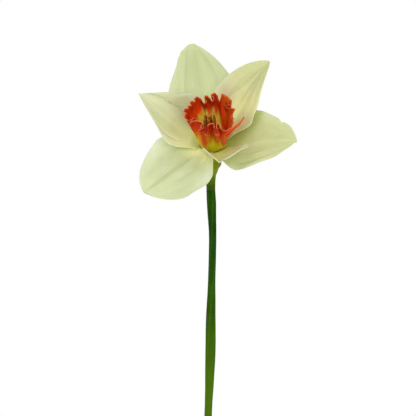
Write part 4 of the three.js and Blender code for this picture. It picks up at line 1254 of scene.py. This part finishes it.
def make_leaf(name, spec, finish):
    """A channelled strap that leans out from the bulb and twists towards its tip."""
    rows = LEAF["rows"]

    def frame_at(u):
        lean = math.radians(mix(*spec["lean"], u ** 1.7))
        side = math.radians(spec["sweep"] * math.sin(math.pi * u))
        ahead = Vector((
            math.sin(lean) * math.cos(side), math.sin(side), math.cos(lean) * math.cos(side),
        )).normalized()
        flat = square_to(ahead, Vector((0, 1, 0)))
        twist = math.radians(spec["twist"] * u * u)
        return ahead, flat * math.cos(twist) + ahead.cross(flat) * math.sin(twist)

    stations = walk(Vector((0, 0, 0)), spec["length"], rows, frame_at)
    azimuth = math.radians(spec["azimuth"])
    turn = Matrix.Rotation(azimuth, 4, "Z")
    seat = round_at(azimuth, LEAF["foot_radius"], BULB["socket"], BULB["x"])

    def place(u, v):
        centre, across, inward = stations[round(v * rows)]
        t = 2 * u - 1
        half = spec["half"] * leaf_width(v)
        keel = -LEAF["keel"] * math.exp(-((t / LEAF["keel_width"]) ** 2))
        ribs = LEAF["rib"] * math.cos(LEAF["ribs"] * t)
        wave = LEAF["wave"] * math.sin(9 * v + spec["azimuth"]) * t * v
        lift = LEAF["channel"] * t * t * half + keel + ribs + wave
        return seat + turn @ (centre + across * (t * half) + inward * lift)

    piece = grid_sheet(name, LEAF["columns"], rows, place)
    weights = []
    for corner in range(len(piece.data.vertices)):
        t = 2 * (corner % (LEAF["columns"] + 1)) / LEAF["columns"] - 1
        v = (corner // (LEAF["columns"] + 1)) / rows
        weights.append((1 - t * t) * (1 - 0.45 * v ** 6))
    thicken(piece, LEAF["thickness"], weights, LEAF["edge_share"])
    coat(piece, 60, finish)
    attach(piece, BODY)
    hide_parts(name)


def make_tunic():
    """The bulb's papery outer skin, round its neck, with a torn upper edge."""
    columns = TUNIC["columns"]
    neck_length = BULB["nose"] - BULB["neck"]

    def place(u, v):
        angle = 2 * math.pi * (round(u * columns) % columns) / columns
        ridge = TUNIC["ridge"] * math.cos(TUNIC["ridges"] * angle)
        ridge += TUNIC["crumple"] * noise.noise(round_at(angle, 2, 3 * v))
        tear = TUNIC["tear"] * noise.noise(round_at(angle, 3.5, 9.0))
        height = mix(TUNIC["low"], TUNIC["high"], v) + tear * smooth(0.55, 1, v)
        up = (height - BULB["neck"]) / neck_length
        fall = (BULB["neck_radius"] - BULB["nose_radius"]) * up
        radius = BULB["neck_radius"] + TUNIC["proud"] - fall
        radius = radius - TUNIC["draw_in"] * smooth(0.8, 1, v) + ridge
        flare = max(0, noise.noise(round_at(angle, 4, 5.5)))
        radius += TUNIC["flare"] * smooth(0.75, 1, v) * flare
        return round_at(angle, radius, height, BULB["x"])

    piece = close_up(grid_sheet("bulb_tunic", columns, TUNIC["rows"], place), ends=False)
    thicken(piece, TUNIC["thickness"])
    skin = papery_finish("tunic_skin", (168, 118, 70), (126, 80, 42), (82, 48, 24), 30.0)
    coat(piece, 70, skin)
    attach(piece, BODY)


def pot_inside(z):
    """Radius of the pot's inside at a height."""
    return POT["foot"] + (POT["rim"] - POT["foot"]) / POT["height"] * z - POT["wall"]


def make_pot():
    keys = ("drain", "foot", "edge", "band", "rim", "height", "floor")
    drain, foot, edge, band, rim, top, floor = (POT[key] for key in keys)
    shoulder = top - POT["band_height"]
    mouth = pot_inside(top)
    piece = turned_piece("pot", [
        (drain, 0.3), (drain + 0.3, 0), (foot - edge, 0), (foot - 0.35, 0.35), (foot, edge),
        (POT["shoulder"], shoulder - edge), (band - edge, shoulder - 0.1),
        (band - 0.35, shoulder + 0.4), (band, shoulder + edge), (rim - 0.1, top - edge),
        (rim - 0.4, top - 0.4), (rim - edge, top), (mouth + edge, top), (mouth + 0.3, top - 0.35),
        (mouth - edge / 3, top - edge), (pot_inside(floor), floor + edge),
        (pot_inside(floor) - edge, floor), (drain + 0.3, floor), (drain, floor - 0.3), (drain, 0.3),
    ], POT["sides"])
    coat(piece, 35, clay_finish())
    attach(piece, BODY)
    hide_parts("pot")


def soil_height(x, y):
    """Height of the soil's top, lumpy over its low mound."""
    edge = pot_inside(SOIL["level"]) - SOIL["gap"]
    inward = clamp(1 - math.hypot(x, y) / edge)
    crumbs = grain(x * 0.3, y * 0.3, 5.2) + 0.6 * grain(x * 1.1, y * 1.1, 2.2)
    rough = SOIL["lump"] * grain(x * 0.07, y * 0.07, 1.1) + SOIL["crumb"] * crumbs
    return SOIL["level"] + inward * SOIL["mound"] + min(1, 5 * inward) * rough


def make_soil(finish):
    foot = POT["floor"] + 0.3
    low_edge = pot_inside(foot) - SOIL["gap"]
    edge = pot_inside(SOIL["level"]) - SOIL["gap"]
    outline = [(0.5, foot), (low_edge - SOIL["bevel"], foot), (low_edge, foot + SOIL["bevel"])]
    for k in range(SOIL["rings"]):
        outline.append((max(0.5, edge * (1 - k / SOIL["rings"])), SOIL["level"]))
    piece = turned_piece("soil", outline, SOIL["sides"])
    for vertex in piece.data.vertices:
        if vertex.co.z > (SOIL["level"] - 1) * MM:
            vertex.co.z = soil_height(vertex.co.x / MM, vertex.co.y / MM) * MM
    coat(piece, 60, finish)
    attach(piece, BODY)
    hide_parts("soil")


def make_crumbs(finish):
    """Loose crumbs and bits of bark on the soil."""
    chance = random.Random(SEED)
    shapes = []
    for k in range(CRUMBS["shapes"]):
        start_fresh()
        bpy.ops.mesh.primitive_ico_sphere_add(subdivisions=1, radius=MM)
        lump = call_it("crumb_%d" % k)
        for vertex in lump.data.vertices:
            spot = vertex.co / MM * 1.7 + Vector((k * 5, 0, 0))
            vertex.co = vertex.co * (1 + CRUMBS["uneven"] * noise.noise(spot))
        shapes.append(lump)
    edge = pot_inside(SOIL["level"]) - CRUMBS["from_wall"]
    copies = []
    while len(copies) < CRUMBS["count"]:
        reach = edge * math.sqrt(chance.random())
        turn = chance.uniform(0, 2 * math.pi)
        x = reach * math.cos(turn)
        y = reach * math.sin(turn)
        size = chance.uniform(*CRUMBS["size"]) ** 1.5 * CRUMBS["largest"]
        flat = chance.uniform(*CRUMBS["flat"])
        long = chance.uniform(*CRUMBS["long"])
        spin = chance.uniform(0, 2 * math.pi)
        tip = chance.uniform(-0.5, 0.5)
        if math.hypot(x - BULB["x"], y) < BULB["neck_radius"] + CRUMBS["from_bulb"]:
            continue
        copy = shapes[len(copies) % len(shapes)].copy()
        copy.data = copy.data.copy()
        bpy.context.collection.objects.link(copy)
        spot = Vector((x, y, soil_height(x, y) + size * flat * 0.35)) * MM
        copy.data.transform(
            Matrix.Translation(spot) @ Matrix.Rotation(spin, 4, "Z") @ Matrix.Rotation(tip, 4, "X")
            @ Matrix.Diagonal((size * long, size, size * flat, 1))
        )
        copies.append(copy)
    for lump in shapes:
        bpy.data.objects.remove(lump)
    piece = join(copies, "soil_crumbs")
    coat(piece, 40, finish)
    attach(piece, BODY)


def dress_bulb():
    skin = papery_finish("bulb_skin", (170, 120, 72), (128, 82, 44), (84, 50, 26), 20.0)
    bulb = bpy.data.objects["bulb"]
    bulb.data.materials.clear()
    bulb.data.materials.append(skin)


# Stage.


def make_floor():
    start_fresh()
    bpy.ops.mesh.primitive_circle_add(
        vertices=FLOOR["sides"], radius=FLOOR["radius"], fill_type="NGON")
    floor = call_it("floor")
    floor.data.materials.append(floor_finish())


def hang(name, data, place):
    """Puts a camera or a lamp in the scene."""
    holder = bpy.data.objects.new(name, data)
    bpy.context.collection.objects.link(holder)
    holder.location = place
    return holder


def add_light(name, place, **settings):
    """A soft round lamp that faces the bloom."""
    lamp = bpy.data.lights.new(name, "AREA")
    lamp.shape = "DISK"
    for key, value in settings.items():
        setattr(lamp, key, value)
    holder = hang(name, lamp, place)
    holder.rotation_euler = (Vector(LIT) - Vector(place)).to_track_quat("-Z", "Y").to_euler()
    holder.visible_camera = False


def set_stage():
    """The camera, the lamps, and a sky that looks a little brighter than its light."""
    scene = bpy.context.scene
    scene.view_settings.view_transform = "Standard"
    camera = bpy.data.cameras.new("camera")
    camera.lens = CAMERA["lens"]
    camera.sensor_width = CAMERA["sensor"]
    scene.camera = hang("camera", camera, CAMERA["place"])
    scene.camera.rotation_euler = (math.radians(90), 0, 0)
    for name, light in LIGHTS.items():
        add_light(name, **light)
    scene.world = bpy.data.worlds.new("studio")
    scene.world.use_nodes = True
    sky = Nodes(scene.world.node_tree)
    backdrop = sky.tree.nodes["Background"].inputs
    ray = sky.add("ShaderNodeLightPath", {})["Is Camera Ray"]
    sky.fill(backdrop["Color"], (1, 1, 1, 1))
    level = sky.sums("MULTIPLY_ADD", ray, SKY["seen_brighter_by"], SKY["light"])
    sky.fill(backdrop["Strength"], level)


set_stage()
make_floor()
make_pot()
COMPOST = compost_finish()
make_soil(COMPOST)
make_crumbs(COMPOST)
dress_bulb()
make_tunic()
LEAF_GREEN = stem_finish(
    "leaf_green", (52, 92, 40), (76, 116, 54), (128, 156, 118), (112, 138, 62),
    count=7.0, split=(0.085, 0.12),
)
for index, leaf in enumerate(LEAVES):
    make_leaf("leaf_%d" % (index + 1), leaf, LEAF_GREEN)
make_scape()
make_neck()
make_spathe()
for name, spec in TEPALS.items():
    make_tepal(name, spec, tepal_finish(spec["tone"]))
make_corona()
make_stamens()
